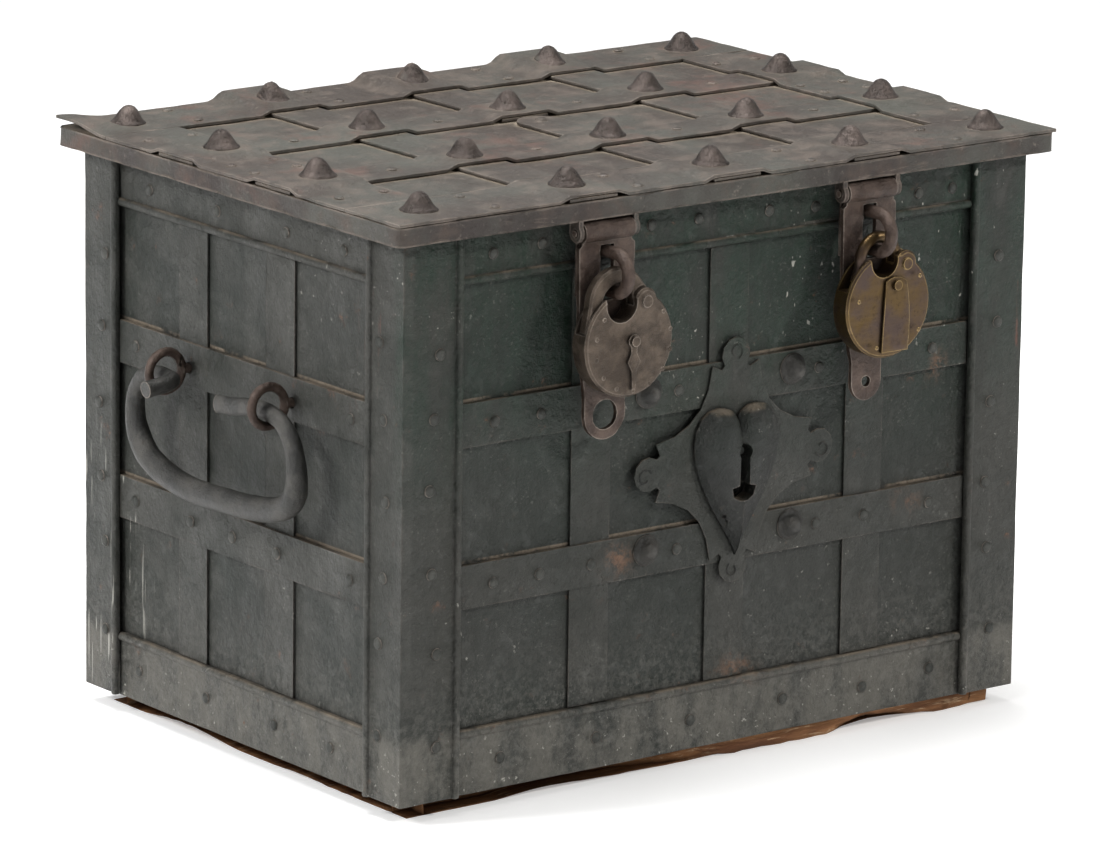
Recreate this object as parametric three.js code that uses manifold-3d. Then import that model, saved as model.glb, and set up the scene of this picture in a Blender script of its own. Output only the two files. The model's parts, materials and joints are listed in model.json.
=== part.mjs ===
// Iron strongbox: a strapped sheet-iron chest with a studded lid, a lid lock with four bolts,
// two hasps with staples and padlocks, and a bail handle on each side.
// Millimetres, +Z up, front towards -Y, origin on the floor under the middle of the chest.
import * as THREE from "three";
import { mergeVertices } from "three/addons/utils/BufferGeometryUtils.js";
import Module from "manifold-3d";

const wasm = await Module();
wasm.setup();

// ---- Driving dimensions ----
const GAP = 0.3; // air between pieces that touch

const WIDTH = 528; // chest over its corner straps
const DEPTH = 370;
const BOARD_H = 12; // timber base board
const TOP = 392; // upper edge of the chest walls
const HALF_W = WIDTH / 2;
const HALF_D = DEPTH / 2;
const WALL_TOP = TOP - GAP;

// Layers of the chest wall, as distances inwards from the outer plane of the corner straps.
const STRAP_T = 2.5;
const BAND_OUT = STRAP_T + GAP;
const BAND_IN = BAND_OUT + STRAP_T;
const SHEET_OUT = BAND_IN + GAP;
const SHEET_IN = SHEET_OUT + 3;
const LATTICE_VERTICAL_T = 1.7;
const LATTICE_CROSS_T = 3.5;

const CORNER_FRONT_LEG = 48;
const CORNER_SIDE_LEG = 40;
const BEAD_R = 3;
const TOP_BAND_LOW = 357;
const BOTTOM_BAND_HIGH = 57;
const CROSS_STRAPS = [154, 263]; // heights of the middle of the horizontal straps
const CROSS_STRAP_H = 30;
const FRONT_VERTICALS = [-107, 8, 127];
const SIDE_VERTICALS = [-42, 59];
const VERTICAL_W = 33;

const OVERHANG = 14;
const RIM_W = 34;
const RIM_H = 13;
const RIM_LOW = TOP + 0.2;
const RIM_HIGH = RIM_LOW + RIM_H;
const LID_W = WIDTH + 2 * OVERHANG;
const LID_D = DEPTH + 2 * OVERHANG;
const LID_STRAP_LOW = RIM_HIGH + GAP;
const LID_STRAP_T = 2.5;
const HUMP = LID_STRAP_T + GAP;
const HUMP_RAMP = 8;
const BORDER_W = 60;
const INNER_STRAP_W = 40;
const CROSS_X = [-120, 0, 120]; // middles of the straps that run front to back
const LONG_Y = [-56, 56]; // middles of the straps that run left to right
const STUD_X = [-240, -120, 0, 120, 240];
const STUD_BORDER_Y = 168;
const STUD_R = 10.8;
const STUD_H = 11;

const HASP_X = { left: -109, right: 114 };
const HASP_AXIS = { y: -195.5, z: 384 };
const HASP_BARREL_R = 7.3;
const BARREL_HALF = 20.5;
const HASP_FRONT = -198.5;
const HASP_T = 4;
const STAPLE_Z = 357;
const STAPLE_R = 13;
const STAPLE_BAR_R = 4.5;
const STAPLE_CENTRE_Y = -208.5;
const STAPLE_CUT_Y = -186;

const PADLOCK_Y = -207.5; // middle of the padlocks' thickness
const PADLOCK_T = 16;
const PADLOCK_R = 36.3;

const HANDLE_X = 281; // handle pivot line
const HANDLE_Z = 257;
const HANDLE_BAR_R = 6;
const HANDLE_SWELL = 1.5; // thickness of the grip's middle against the ends
const EYE_Y = [-58, 62];
const EYE_Z = 260.5; // the bar hangs low in its eyes
const EYE_R = 13.4;
const EYE_BAR_R = 3.4;
const EYE_SHANK_R = 3.6;

const HINGE_X = [-150, 150];
const HINGE_Y = 206;
const HINGE_Z = 388;
const KNUCKLE_R = 6;
const PIN_R = 3;
const PIN_CLEARANCE = 0.3;
const HINGE_W = 70;
const HINGE_MIDDLE = 15.5; // half length of the chest leaf's knuckle

const BOLT_W = 14;
const BOLT_LOW = 380;
const BOLT_HIGH = 387;
const BOLT_THROW = 16; // over a quarter turn of the hub
const BOLT_INNER = 26;
const BOLT_PIN_R = 2.5;
const BOLT_PIN_AT = 38;
const CATCH_W = 24;
const CATCH_LOW = 387.6;
const HUB_R = 64;
const HUB_LOW = 374;
const HUB_DISC_H = 4;
const HUB_ARBOR_R = 9;
const LOCK_PLATE_LOW = 387.5;
const LOCK_PLATE_T = 3;

const BOSS_X = 12;
const BOSS_Z = 207;
const BOSS_H = 12;
const FRONT_KEYHOLE_Z = 217;
const KEY_SLOT = [[4.2, 23], [10, 24.5], [8, 31], [3, 33.5]]; // half widths and drops

// ---- Materials ----
const paint = (color, roughness, metalness) =>
  new THREE.MeshStandardMaterial({ color, roughness, metalness });
const paintedIron = () => paint(0x2c322d, 0.62, 0.35);
const wornIron = () => paint(0x4a403a, 0.55, 0.6);
const darkBronze = () => paint(0x4b463c, 0.45, 0.8);
const brass = () => paint(0x7d6a38, 0.4, 0.9);
const timber = () => paint(0x7a5230, 0.9, 0);

// ---- Solid helpers ----
function solidOf(geometry) {
  const plain = geometry.clone();
  plain.deleteAttribute("normal");
  plain.deleteAttribute("uv");
  const merged = mergeVertices(plain, 1e-4);
  return new wasm.Manifold(
    new wasm.Mesh({
      numProp: 3,
      vertProperties: new Float32Array(merged.attributes.position.array),
      triVerts: new Uint32Array(merged.index.array),
    }),
  );
}

function geometryOf(solid) {
  const mesh = solid.getMesh();
  const geometry = new THREE.BufferGeometry();
  geometry.setAttribute("position", new THREE.BufferAttribute(mesh.vertProperties, 3));
  geometry.setIndex(new THREE.BufferAttribute(mesh.triVerts, 1));
  const faceted = geometry.toNonIndexed();
  faceted.computeVertexNormals();
  return faceted;
}

const join = (...pieces) => geometryOf(pieces.map(solidOf).reduce((a, b) => a.add(b)));

const cut = (piece, ...tools) =>
  geometryOf(tools.map(solidOf).reduce((a, b) => a.subtract(b), solidOf(piece)));

function block(x0, x1, y0, y1, z0, z1) {
  const box = new THREE.BoxGeometry(x1 - x0, y1 - y0, z1 - z0);
  return box.translate((x0 + x1) / 2, (y0 + y1) / 2, (z0 + z1) / 2);
}

// The world directions that a flat shape's own x, y and thickness turn into.
const FACING = {
  x: [new THREE.Vector3(0, 1, 0), new THREE.Vector3(0, 0, 1), new THREE.Vector3(1, 0, 0)],
  y: [new THREE.Vector3(1, 0, 0), new THREE.Vector3(0, 0, 1), new THREE.Vector3(0, -1, 0)],
  z: [new THREE.Vector3(1, 0, 0), new THREE.Vector3(0, 1, 0), new THREE.Vector3(0, 0, 1)],
};

// A flat shape made thick from low to high along a world axis. On x the shape lies in (y, z),
// on y in (x, z) and on z in (x, y).
function slab(axis, shape, low, high, chamfer = 0, curveSegments = 8) {
  const geometry = new THREE.ExtrudeGeometry(shape, {
    depth: high - low - 2 * chamfer,
    bevelEnabled: chamfer > 0,
    bevelThickness: chamfer,
    bevelSize: chamfer,
    bevelOffset: -chamfer,
    bevelSegments: 1,
    curveSegments,
  });
  geometry.translate(0, 0, chamfer);
  geometry.applyMatrix4(new THREE.Matrix4().makeBasis(...FACING[axis]));
  const start = axis === "y" ? -high : low;
  const along = new THREE.Vector3(axis === "x", axis === "y", axis === "z");
  return geometry.translate(...along.multiplyScalar(axis === "y" ? high : start).toArray());
}

// A round bar along a world axis. a and b are its middle in the other two coordinates.
function rod(axis, radius, low, high, a, b, sides = 16) {
  const geometry = new THREE.CylinderGeometry(radius, radius, high - low, sides);
  if (axis === "x") geometry.rotateZ(Math.PI / 2);
  if (axis === "z") geometry.rotateX(Math.PI / 2);
  const middle = (low + high) / 2;
  const at = { x: [middle, a, b], y: [a, middle, b], z: [a, b, middle] }[axis];
  return geometry.translate(...at);
}

// A round bar swept along points in space.
function bar(points, radius, steps, halfSides = 5) {
  const section = new THREE.Shape();
  section.absarc(0, 0, radius, 0, 2 * Math.PI);
  return new THREE.ExtrudeGeometry(section, {
    steps,
    curveSegments: halfSides,
    bevelEnabled: false,
    extrudePath: new THREE.CatmullRomCurve3(points),
  });
}

function outline(points) {
  return new THREE.Shape(points.map(([u, v]) => new THREE.Vector2(u, v)));
}

function rectangle(halfU, halfV, uMiddle = 0, vMiddle = 0) {
  return outline([
    [uMiddle - halfU, vMiddle - halfV],
    [uMiddle + halfU, vMiddle - halfV],
    [uMiddle + halfU, vMiddle + halfV],
    [uMiddle - halfU, vMiddle + halfV],
  ]);
}

function disc(radius, u = 0, v = 0) {
  const shape = new THREE.Shape();
  shape.absarc(u, v, radius, 0, 2 * Math.PI);
  return shape;
}

function withHole(shape, hole) {
  shape.holes.push(hole);
  return shape;
}

const model = new THREE.Group();
const chest = new THREE.Group();
const lid = new THREE.Group();
model.add(chest, lid);

function put(group, name, geometry, material, place) {
  const mesh = new THREE.Mesh(geometry, material);
  mesh.name = name;
  if (place) place(mesh);
  group.add(mesh);
  return mesh;
}

// ---- Chest ----
const stapleHeights = [STAPLE_Z - STAPLE_R, STAPLE_Z + STAPLE_R];

// Clearance holes for both staples' legs through the front wall.
function stapleHoles() {
  return Object.values(HASP_X).flatMap((x) =>
    stapleHeights.map((z) => rod("y", STAPLE_BAR_R + GAP, -HALF_D - 5, -HALF_D + 12, x, z, 12)),
  );
}

// Clearance holes for the shanks of one side's handle eyes.
function eyeHoles(side) {
  const x = [side * (HALF_W - 12), side * (HALF_W + 5)].sort((a, b) => a - b);
  return EYE_Y.map((y) => rod("x", EYE_SHANK_R + GAP, ...x, y, EYE_Z, 12));
}

function baseBoard() {
  const inset = 7;
  return block(-HALF_W + inset, HALF_W - inset, -HALF_D + inset, HALF_D - inset, 0, BOARD_H - GAP);
}

function frontPlate() {
  const wall = block(
    -HALF_W + SHEET_OUT, HALF_W - SHEET_OUT, -HALF_D + SHEET_OUT, -HALF_D + SHEET_IN,
    BOARD_H, WALL_TOP,
  );
  const keyPin = rod("y", 2.6, -HALF_D - 7, -HALF_D + SHEET_OUT + 1, BOSS_X, FRONT_KEYHOLE_Z, 12);
  return cut(join(wall, keyPin), ...stapleHoles());
}

function sidePlate(side) {
  const x = [side * (HALF_W - SHEET_IN), side * (HALF_W - SHEET_OUT)].sort((a, b) => a - b);
  const y = HALF_D - SHEET_IN - GAP;
  return cut(block(...x, -y, y, BOARD_H, WALL_TOP), ...eyeHoles(side));
}

// Angle strap of one corner, drawn with the chest's corner at its own origin.
function cornerStrap() {
  const section = new THREE.Shape();
  section.moveTo(0, 0);
  section.lineTo(CORNER_FRONT_LEG - 2 * BEAD_R, 0);
  section.absarc(CORNER_FRONT_LEG - BEAD_R, 0, BEAD_R, Math.PI, 2 * Math.PI);
  section.lineTo(CORNER_FRONT_LEG, STRAP_T);
  section.lineTo(STRAP_T, STRAP_T);
  section.lineTo(STRAP_T, CORNER_SIDE_LEG);
  section.lineTo(0, CORNER_SIDE_LEG);
  section.absarc(0, CORNER_SIDE_LEG - BEAD_R, BEAD_R, Math.PI / 2, 1.5 * Math.PI);
  section.closePath();
  return slab("z", section, BOARD_H, WALL_TOP, 0, 5);
}

// Half-round bead whose flat side lies on z = 0 of its own section, run along x or y.
function bead(axis, low, high, out, z) {
  const section = new THREE.Shape();
  const start = axis === "x" ? Math.PI / 2 : -Math.PI / 2;
  section.absarc(0, 0, BEAD_R, start, start + Math.PI, false);
  section.closePath();
  if (axis === "x") return slab("x", section, low, high, 0, 5).translate(0, out, z);
  return slab("y", section, low, high, 0, 5).translate(out, 0, z);
}

// Strap ring around the chest with a bead on each face between the corner straps.
function band(low, high, beadZ) {
  const halfU = HALF_W - BAND_OUT;
  const halfV = HALF_D - BAND_OUT;
  const ring = withHole(
    rectangle(halfU, halfV),
    rectangle(halfU - STRAP_T, halfV - STRAP_T),
  );
  const frontRun = HALF_W - CORNER_FRONT_LEG - GAP;
  const sideRun = HALF_D - CORNER_SIDE_LEG - GAP;
  const sink = 0.2; // lets each bead grow out of the ring
  const front = bead("x", -frontRun, frontRun, -halfV + sink, beadZ);
  const back = front.clone().rotateZ(Math.PI);
  const right = bead("y", -sideRun, sideRun, halfU - sink, beadZ);
  const left = right.clone().rotateZ(Math.PI);
  return join(slab("z", ring, low, high), front, back, left, right);
}

// Riveted lattice of one face, facing -Y at y = -out.
function lattice(verticals, halfU, out) {
  const inner = -out + BAND_IN;
  const upright = verticals.map((u) =>
    block(
      u - VERTICAL_W / 2, u + VERTICAL_W / 2, inner - LATTICE_VERTICAL_T, inner,
      BOTTOM_BAND_HIGH + GAP, TOP_BAND_LOW - GAP,
    ),
  );
  const across = CROSS_STRAPS.map((z) =>
    block(
      -halfU, halfU, inner - LATTICE_CROSS_T, inner,
      z - CROSS_STRAP_H / 2, z + CROSS_STRAP_H / 2,
    ),
  );
  return join(...upright, ...across);
}

function catchRim() {
  const halfU = HALF_W - SHEET_IN - GAP;
  const halfV = HALF_D - SHEET_IN - GAP;
  const ring = withHole(rectangle(halfU, halfV), rectangle(halfU - CATCH_W, halfV - CATCH_W));
  return slab("z", ring, CATCH_LOW, WALL_TOP);
}

// Flat cross plate with a round finial and two horns on each arm.
function escutcheonShape() {
  const HORN = [67, 20];
  const NOTCH = [63.5, 12];
  const FINIAL_R = 12;
  const FINIAL_AT = 73;
  const WAIST = 24;
  const shape = new THREE.Shape();
  for (let k = 0; k < 4; k++) {
    const turn = (k * Math.PI) / 2;
    const at = (u, v) => [
      BOSS_X + u * Math.cos(turn) - v * Math.sin(turn),
      BOSS_Z + 2 + u * Math.sin(turn) + v * Math.cos(turn),
    ];
    if (k === 0) shape.moveTo(...at(HORN[0], -HORN[1]));
    shape.lineTo(...at(NOTCH[0], -NOTCH[1]));
    for (let i = 0; i <= 8; i++) {
      const angle = -2.2 + (i * 4.4) / 8;
      shape.lineTo(...at(FINIAL_AT + FINIAL_R * Math.cos(angle), FINIAL_R * Math.sin(angle)));
    }
    shape.lineTo(...at(NOTCH[0], NOTCH[1]));
    shape.lineTo(...at(HORN[0], HORN[1]));
    shape.quadraticCurveTo(...at(WAIST, WAIST), ...at(HORN[1], HORN[0]));
  }
  return shape;
}

function keyholeShape() {
  const shape = new THREE.Shape();
  shape.absarc(BOSS_X, FRONT_KEYHOLE_Z, 5.5, -0.25 * Math.PI, 1.25 * Math.PI);
  for (const [u, v] of KEY_SLOT) shape.lineTo(BOSS_X - u, FRONT_KEYHOLE_Z - v);
  for (const [u, v] of [...KEY_SLOT].reverse()) shape.lineTo(BOSS_X + u, FRONT_KEYHOLE_Z - v);
  shape.closePath();
  return shape;
}

// Heart-shaped dome on the escutcheon plate, as shrinking rings of one heart curve.
function heartBoss() {
  const POINTS = 36;
  const RINGS = [[1, 0], [1, 2.2], [0.9, 6], [0.7, 9.6], [0.4, 11.6]];
  const heart = (t, scale) => [
    36.5 * scale * Math.sin(t) ** 3,
    4 * scale * (13 * Math.cos(t) - 4 * Math.cos(2 * t) - 1.2 * Math.cos(3 * t)),
  ];
  const back = -HALF_D - GAP;
  const vertices = [];
  RINGS.forEach(([scale, height]) => {
    for (let i = 0; i < POINTS; i++) {
      const [u, v] = heart((2 * Math.PI * i) / POINTS, scale);
      vertices.push(BOSS_X + u, back - height, BOSS_Z + v);
    }
  });
  const apex = RINGS.length * POINTS;
  vertices.push(BOSS_X, back - BOSS_H, BOSS_Z, BOSS_X, back, BOSS_Z);
  const faces = [];
  for (let i = 0; i < POINTS; i++) {
    const next = (i + 1) % POINTS;
    for (let ring = 0; ring < RINGS.length - 1; ring++) {
      const low = ring * POINTS;
      const high = low + POINTS;
      faces.push(low + i, high + i, low + next, low + next, high + i, high + next);
    }
    faces.push(apex - POINTS + i, apex, apex - POINTS + next, i, next, apex + 1);
  }
  const geometry = new THREE.BufferGeometry();
  geometry.setAttribute("position", new THREE.Float32BufferAttribute(vertices, 3));
  geometry.setIndex(faces);
  return geometry;
}

// The chest's half of a staple: both cut legs and the plate that clenches them inside.
function stapleBase() {
  const inside = -HALF_D + SHEET_IN + GAP;
  const legs = stapleHeights.map((z) =>
    rod("y", STAPLE_BAR_R, STAPLE_CUT_Y + GAP, inside + 1, 0, z, 12),
  );
  return join(block(-12, 12, inside, inside + 3, STAPLE_Z - 22, STAPLE_Z + 22), ...legs);
}

// Ring eye for a handle bar, standing on a shank that goes through the wall at +X.
function handleEye() {
  const ring = new THREE.TorusGeometry(EYE_R, EYE_BAR_R, 8, 20);
  ring.rotateX(Math.PI / 2);
  const shank = rod("x", EYE_SHANK_R, HALF_W - SHEET_IN - 2, HANDLE_X - EYE_R, 0, 0, 12);
  return join(ring.translate(HANDLE_X, 0, 0), shank);
}

// Bail bar hanging from its two pivots. The front end runs straight through its eye, the back end
// is bent outwards behind its eye, and the bar is thickest in the middle of the grip.
function handleBar() {
  const route = [
    [0, 0, -6.5], [0, -18, -4.5], [0, -38, -1], [0, -58, 0], [0, -75, -5], [0, -85, -15],
    [0, -90, -28], [0, -91, -42], [0, -86, -55], [0, -70, -64], [0, -42, -69], [0, -10, -71],
    [0, 24, -72], [0, 54, -69], [0, 80, -60], [0, 93, -47], [0, 98, -32], [0, 96, -16],
    [0, 86, -4], [0, 72, 0], [0, 60, 0], [2.5, 50.5, 0], [11, 46.5, -1], [27, 46, -2.5],
  ];
  const points = route.map(([x, y, z]) => new THREE.Vector3(HANDLE_X + x, y, HANDLE_Z + z));
  const steps = 56;
  const centres = new THREE.CatmullRomCurve3(points).getSpacedPoints(steps);
  const geometry = bar(points, HANDLE_BAR_R, steps, 6);
  const place = geometry.getAttribute("position");
  const vertex = new THREE.Vector3();
  for (let i = 0; i < place.count; i++) {
    vertex.fromBufferAttribute(place, i);
    const away = centres.map((centre) => centre.distanceTo(vertex));
    const middle = centres[away.indexOf(Math.min(...away))];
    const low = Math.min(1, Math.max(0, (HANDLE_Z - middle.z) / 70));
    vertex.sub(middle).multiplyScalar(1 + (HANDLE_SWELL - 1) * low).add(middle);
    place.setXYZ(i, vertex.x, vertex.y, vertex.z);
  }
  return geometry;
}

function chestHinge() {
  const face = HALF_D - BAND_OUT + GAP;
  const leaf = block(-HINGE_W / 2, HINGE_W / 2, face, face + STRAP_T, 366, 387);
  const arm = block(-HINGE_MIDDLE, HINGE_MIDDLE, face, HINGE_Y - 2, 383, 387);
  const knuckle = rod("x", KNUCKLE_R, -HINGE_MIDDLE, HINGE_MIDDLE, HINGE_Y, HINGE_Z);
  const pin = rod("x", PIN_R, -HINGE_W / 2, HINGE_W / 2, HINGE_Y, HINGE_Z);
  return join(leaf, arm, knuckle, pin);
}

put(chest, "base_board", baseBoard(), timber());
put(
  chest, "bottom_plate",
  block(
    -HALF_W + SHEET_IN + GAP, HALF_W - SHEET_IN - GAP,
    -HALF_D + SHEET_IN + GAP, HALF_D - SHEET_IN - GAP, BOARD_H, BOARD_H + 3,
  ),
  paintedIron(),
);
put(chest, "front_plate", frontPlate(), paintedIron());
put(
  chest, "back_plate",
  block(
    -HALF_W + SHEET_OUT, HALF_W - SHEET_OUT, HALF_D - SHEET_IN, HALF_D - SHEET_OUT,
    BOARD_H, WALL_TOP,
  ),
  paintedIron(),
);
put(chest, "left_plate", sidePlate(-1), paintedIron());
put(chest, "right_plate", sidePlate(1), paintedIron());
for (const [xName, xSide] of [["left", -1], ["right", 1]]) {
  for (const [yName, ySide] of [["front", -1], ["back", 1]]) {
    put(chest, `corner_strap_${yName}_${xName}`, cornerStrap(), paintedIron(), (mesh) => {
      mesh.position.set(xSide * HALF_W, ySide * HALF_D, 0);
      mesh.scale.set(-xSide, -ySide, 1);
    });
  }
}
put(
  chest, "top_band",
  cut(band(TOP_BAND_LOW, WALL_TOP, TOP_BAND_LOW + BEAD_R), ...stapleHoles()),
  paintedIron(),
);
put(chest, "bottom_band", band(BOARD_H, BOTTOM_BAND_HIGH, BOTTOM_BAND_HIGH - BEAD_R), paintedIron());

const frontHalf = HALF_W - CORNER_FRONT_LEG - GAP;
const sideHalf = HALF_D - CORNER_SIDE_LEG - GAP;
put(
  chest, "front_lattice",
  cut(
    lattice(FRONT_VERTICALS, frontHalf, HALF_D),
    slab("y", keyholeShape(), -HALF_D, -HALF_D + SHEET_OUT - 0.1, 0, 5),
    ...stapleHoles(),
  ),
  paintedIron(),
);
put(
  chest, "back_lattice",
  lattice(FRONT_VERTICALS.map((x) => -x), frontHalf, HALF_D).rotateZ(Math.PI),
  paintedIron(),
);
put(
  chest, "left_lattice",
  cut(
    lattice(SIDE_VERTICALS.map((y) => -y), sideHalf, HALF_W).rotateZ(-Math.PI / 2),
    ...eyeHoles(-1),
  ),
  paintedIron(),
);
put(
  chest, "right_lattice",
  cut(lattice(SIDE_VERTICALS, sideHalf, HALF_W).rotateZ(Math.PI / 2), ...eyeHoles(1)),
  paintedIron(),
);
put(chest, "catch_rim", catchRim(), wornIron());

const keyholeTool = slab("y", keyholeShape(), -HALF_D - 20, -HALF_D + 2, 0, 5);
put(
  chest, "escutcheon_plate",
  cut(slab("y", escutcheonShape(), -HALF_D, -HALF_D + 1.5, 0, 5), keyholeTool),
  paintedIron(),
);
put(chest, "heart_boss", cut(heartBoss(), keyholeTool), paintedIron());

for (const [name, x] of Object.entries(HASP_X)) {
  put(chest, `staple_base_${name}`, stapleBase(), wornIron(), (mesh) => {
    mesh.position.x = x;
  });
}
for (const [name, side] of [["left", -1], ["right", 1]]) {
  for (const [yName, y] of [["front", EYE_Y[0]], ["back", EYE_Y[1]]]) {
    put(chest, `${name}_eye_${yName}`, handleEye(), wornIron(), (mesh) => {
      mesh.position.set(0, y, EYE_Z);
      mesh.scale.x = side;
    });
  }
  put(chest, `${name}_handle`, handleBar(), wornIron(), (mesh) => {
    mesh.scale.x = side;
  });
}
for (const [name, x] of [["left", HINGE_X[0]], ["right", HINGE_X[1]]]) {
  put(chest, `chest_hinge_${name}`, chestHinge(), wornIron(), (mesh) => {
    mesh.position.x = x;
  });
}

// ---- Lid ----
// Ears under the lid's front edge that carry one hasp's barrel between them.
function haspEars(x) {
  const EAR_T = 4;
  return [-1, 1].map((side) => {
    const edges = [x + side * (BARREL_HALF + GAP), x + side * (BARREL_HALF + GAP + EAR_T)];
    const [low, high] = edges.sort((a, b) => a - b);
    const ear = join(
      block(low, high, HASP_AXIS.y - 4.5, HASP_AXIS.y + 6, HASP_AXIS.z, RIM_LOW + 1),
      rod("x", 6.5, low, high, HASP_AXIS.y, HASP_AXIS.z, 16),
    );
    return cut(ear, rod("x", 2.8, low - 1, high + 1, HASP_AXIS.y, HASP_AXIS.z, 12));
  });
}

function lidRim() {
  const CORNER_R = 7;
  const u = LID_W / 2;
  const v = LID_D / 2;
  const shape = new THREE.Shape();
  shape.absarc(u - CORNER_R, -v + CORNER_R, CORNER_R, -Math.PI / 2, 0);
  shape.absarc(u - CORNER_R, v - CORNER_R, CORNER_R, 0, Math.PI / 2);
  shape.absarc(-u + CORNER_R, v - CORNER_R, CORNER_R, Math.PI / 2, Math.PI);
  shape.absarc(-u + CORNER_R, -v + CORNER_R, CORNER_R, Math.PI, 1.5 * Math.PI);
  shape.closePath();
  const ring = withHole(shape, rectangle(u - RIM_W, v - RIM_W));
  const ears = Object.values(HASP_X).flatMap(haspEars);
  return join(slab("z", ring, RIM_LOW, RIM_HIGH, 0, 3), ...ears);
}

function lidPlate() {
  const plate = withHole(
    rectangle(LID_W / 2 - RIM_W - GAP, LID_D / 2 - RIM_W - GAP),
    lidKeyhole(),
  );
  return cut(
    slab("z", plate, RIM_HIGH - 3, RIM_HIGH, 0, 4),
    rod("z", 3, RIM_HIGH - 5, RIM_HIGH + 2, COVER.x, COVER.y, 12),
  );
}

function lidKeyhole() {
  const shape = new THREE.Shape();
  shape.absarc(0, 0, 6, -0.3 * Math.PI, 1.3 * Math.PI);
  shape.lineTo(-3.5, -17);
  shape.lineTo(3.5, -17);
  shape.closePath();
  return shape;
}

// Strap seen from its edge: flat at the bottom level, with a hump over each crossing strap.
function humpedShape(low, high, crossings, halfCrossing) {
  const under = [[low, 0]];
  crossings.forEach((at) => {
    const half = halfCrossing + GAP;
    under.push([at - half - HUMP_RAMP, 0], [at - half, HUMP]);
    under.push([at + half, HUMP], [at + half + HUMP_RAMP, 0]);
  });
  under.push([high, 0]);
  const over = under.map(([s, n]) => [s, n + LID_STRAP_T]).reverse();
  return outline([...under, ...over]);
}

function studAt(x, y, z) {
  const profile = [[0, -1], [STUD_R, -1], [STUD_R, 0.8], [7.6, 5], [3.6, 9.4], [0, STUD_H]];
  const stud = new THREE.LatheGeometry(profile.map(([r, h]) => new THREE.Vector2(r, h)), 12);
  return stud.rotateX(Math.PI / 2).translate(x, y, z);
}

const humpTop = LID_STRAP_LOW + HUMP + LID_STRAP_T;
const flatTop = LID_STRAP_LOW + LID_STRAP_T;

function endBorder(side) {
  const y = [side * (LID_D / 2), side * (LID_D / 2 - BORDER_W)].sort((a, b) => a - b);
  const ribbon = humpedShape(-LID_W / 2, LID_W / 2, CROSS_X, INNER_STRAP_W / 2);
  const studs = STUD_X.map((x) =>
    studAt(x, side * STUD_BORDER_Y, CROSS_X.includes(x) ? humpTop : flatTop),
  );
  return join(slab("y", ribbon, ...y).translate(0, 0, LID_STRAP_LOW), ...studs);
}

function sideBorder(side) {
  const x = [side * (LID_W / 2), side * (LID_W / 2 - BORDER_W)].sort((a, b) => a - b);
  const half = LID_D / 2 - BORDER_W - GAP;
  const ribbon = humpedShape(-half, half, LONG_Y, INNER_STRAP_W / 2);
  const studs = LONG_Y.map((y) => studAt(side * STUD_X[4], y, humpTop));
  return join(slab("x", ribbon, ...x).translate(0, 0, LID_STRAP_LOW), ...studs);
}

function longStrap(y) {
  const ribbon = humpedShape(-LID_W / 2 + 1, LID_W / 2 - 1, CROSS_X, INNER_STRAP_W / 2);
  const strap = slab("y", ribbon, y - INNER_STRAP_W / 2, y + INNER_STRAP_W / 2);
  return join(
    strap.translate(0, 0, LID_STRAP_LOW),
    ...CROSS_X.map((x) => studAt(x, y, humpTop)),
  );
}

function crossStrap(x, low, high) {
  return block(
    x - INNER_STRAP_W / 2, x + INNER_STRAP_W / 2, low, high,
    LID_STRAP_LOW, LID_STRAP_LOW + LID_STRAP_T,
  );
}

const COVER = { x: 0, y: 18, half: 17, reach: 47 };

// Short strap end that turns aside on a rivet and bares the keyhole.
function keyholeCover() {
  const shape = new THREE.Shape();
  shape.absarc(COVER.x, COVER.y, COVER.half, 0, Math.PI);
  shape.lineTo(COVER.x - COVER.half, COVER.y - COVER.reach);
  shape.lineTo(COVER.x + COVER.half, COVER.y - COVER.reach);
  shape.closePath();
  const leaf = slab("z", shape, LID_STRAP_LOW, LID_STRAP_LOW + LID_STRAP_T, 0, 8);
  const head = new THREE.SphereGeometry(4.5, 12, 6, 0, 2 * Math.PI, 0, Math.PI);
  head.rotateX(Math.PI / 2).scale(1, 1, 0.6).translate(COVER.x, COVER.y, flatTop);
  return join(leaf, head, rod("z", 2.6, RIM_HIGH - 3.5, flatTop - 1, COVER.x, COVER.y, 12));
}

function lidHinge() {
  const face = LID_D / 2 + GAP;
  const halfW = HINGE_W / 2;
  const pieces = [block(-halfW, halfW, face, face + 3, HINGE_Z + 7, RIM_HIGH)];
  for (const side of [-1, 1]) {
    const x = [side * (HINGE_MIDDLE + 0.5), side * halfW].sort((a, b) => a - b);
    pieces.push(
      block(...x, face, face + 3, HINGE_Z - 1, HINGE_Z + 8),
      rod("x", KNUCKLE_R, ...x, HINGE_Y, HINGE_Z),
    );
  }
  return cut(
    join(...pieces),
    rod("x", PIN_R + PIN_CLEARANCE, -halfW - 1, halfW + 1, HINGE_Y, HINGE_Z),
  );
}

put(lid, "lid_rim", lidRim(), wornIron());
put(lid, "lid_plate", lidPlate(), paintedIron());
put(lid, "lid_border_front", endBorder(-1), paintedIron());
put(lid, "lid_border_back", endBorder(1), paintedIron());
put(lid, "lid_border_left", sideBorder(-1), paintedIron());
put(lid, "lid_border_right", sideBorder(1), paintedIron());
put(lid, "lid_long_strap_front", longStrap(LONG_Y[0]), paintedIron());
put(lid, "lid_long_strap_back", longStrap(LONG_Y[1]), paintedIron());
const crossEnd = LID_D / 2 - 1;
const crossInner = LONG_Y[1] - INNER_STRAP_W / 2;
put(lid, "lid_cross_strap_left", crossStrap(CROSS_X[0], -crossEnd, crossEnd), paintedIron());
put(lid, "lid_cross_strap_middle_front", crossStrap(0, -crossEnd, -crossInner), paintedIron());
put(lid, "lid_cross_strap_middle_back", crossStrap(0, crossInner, crossEnd), paintedIron());
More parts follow.
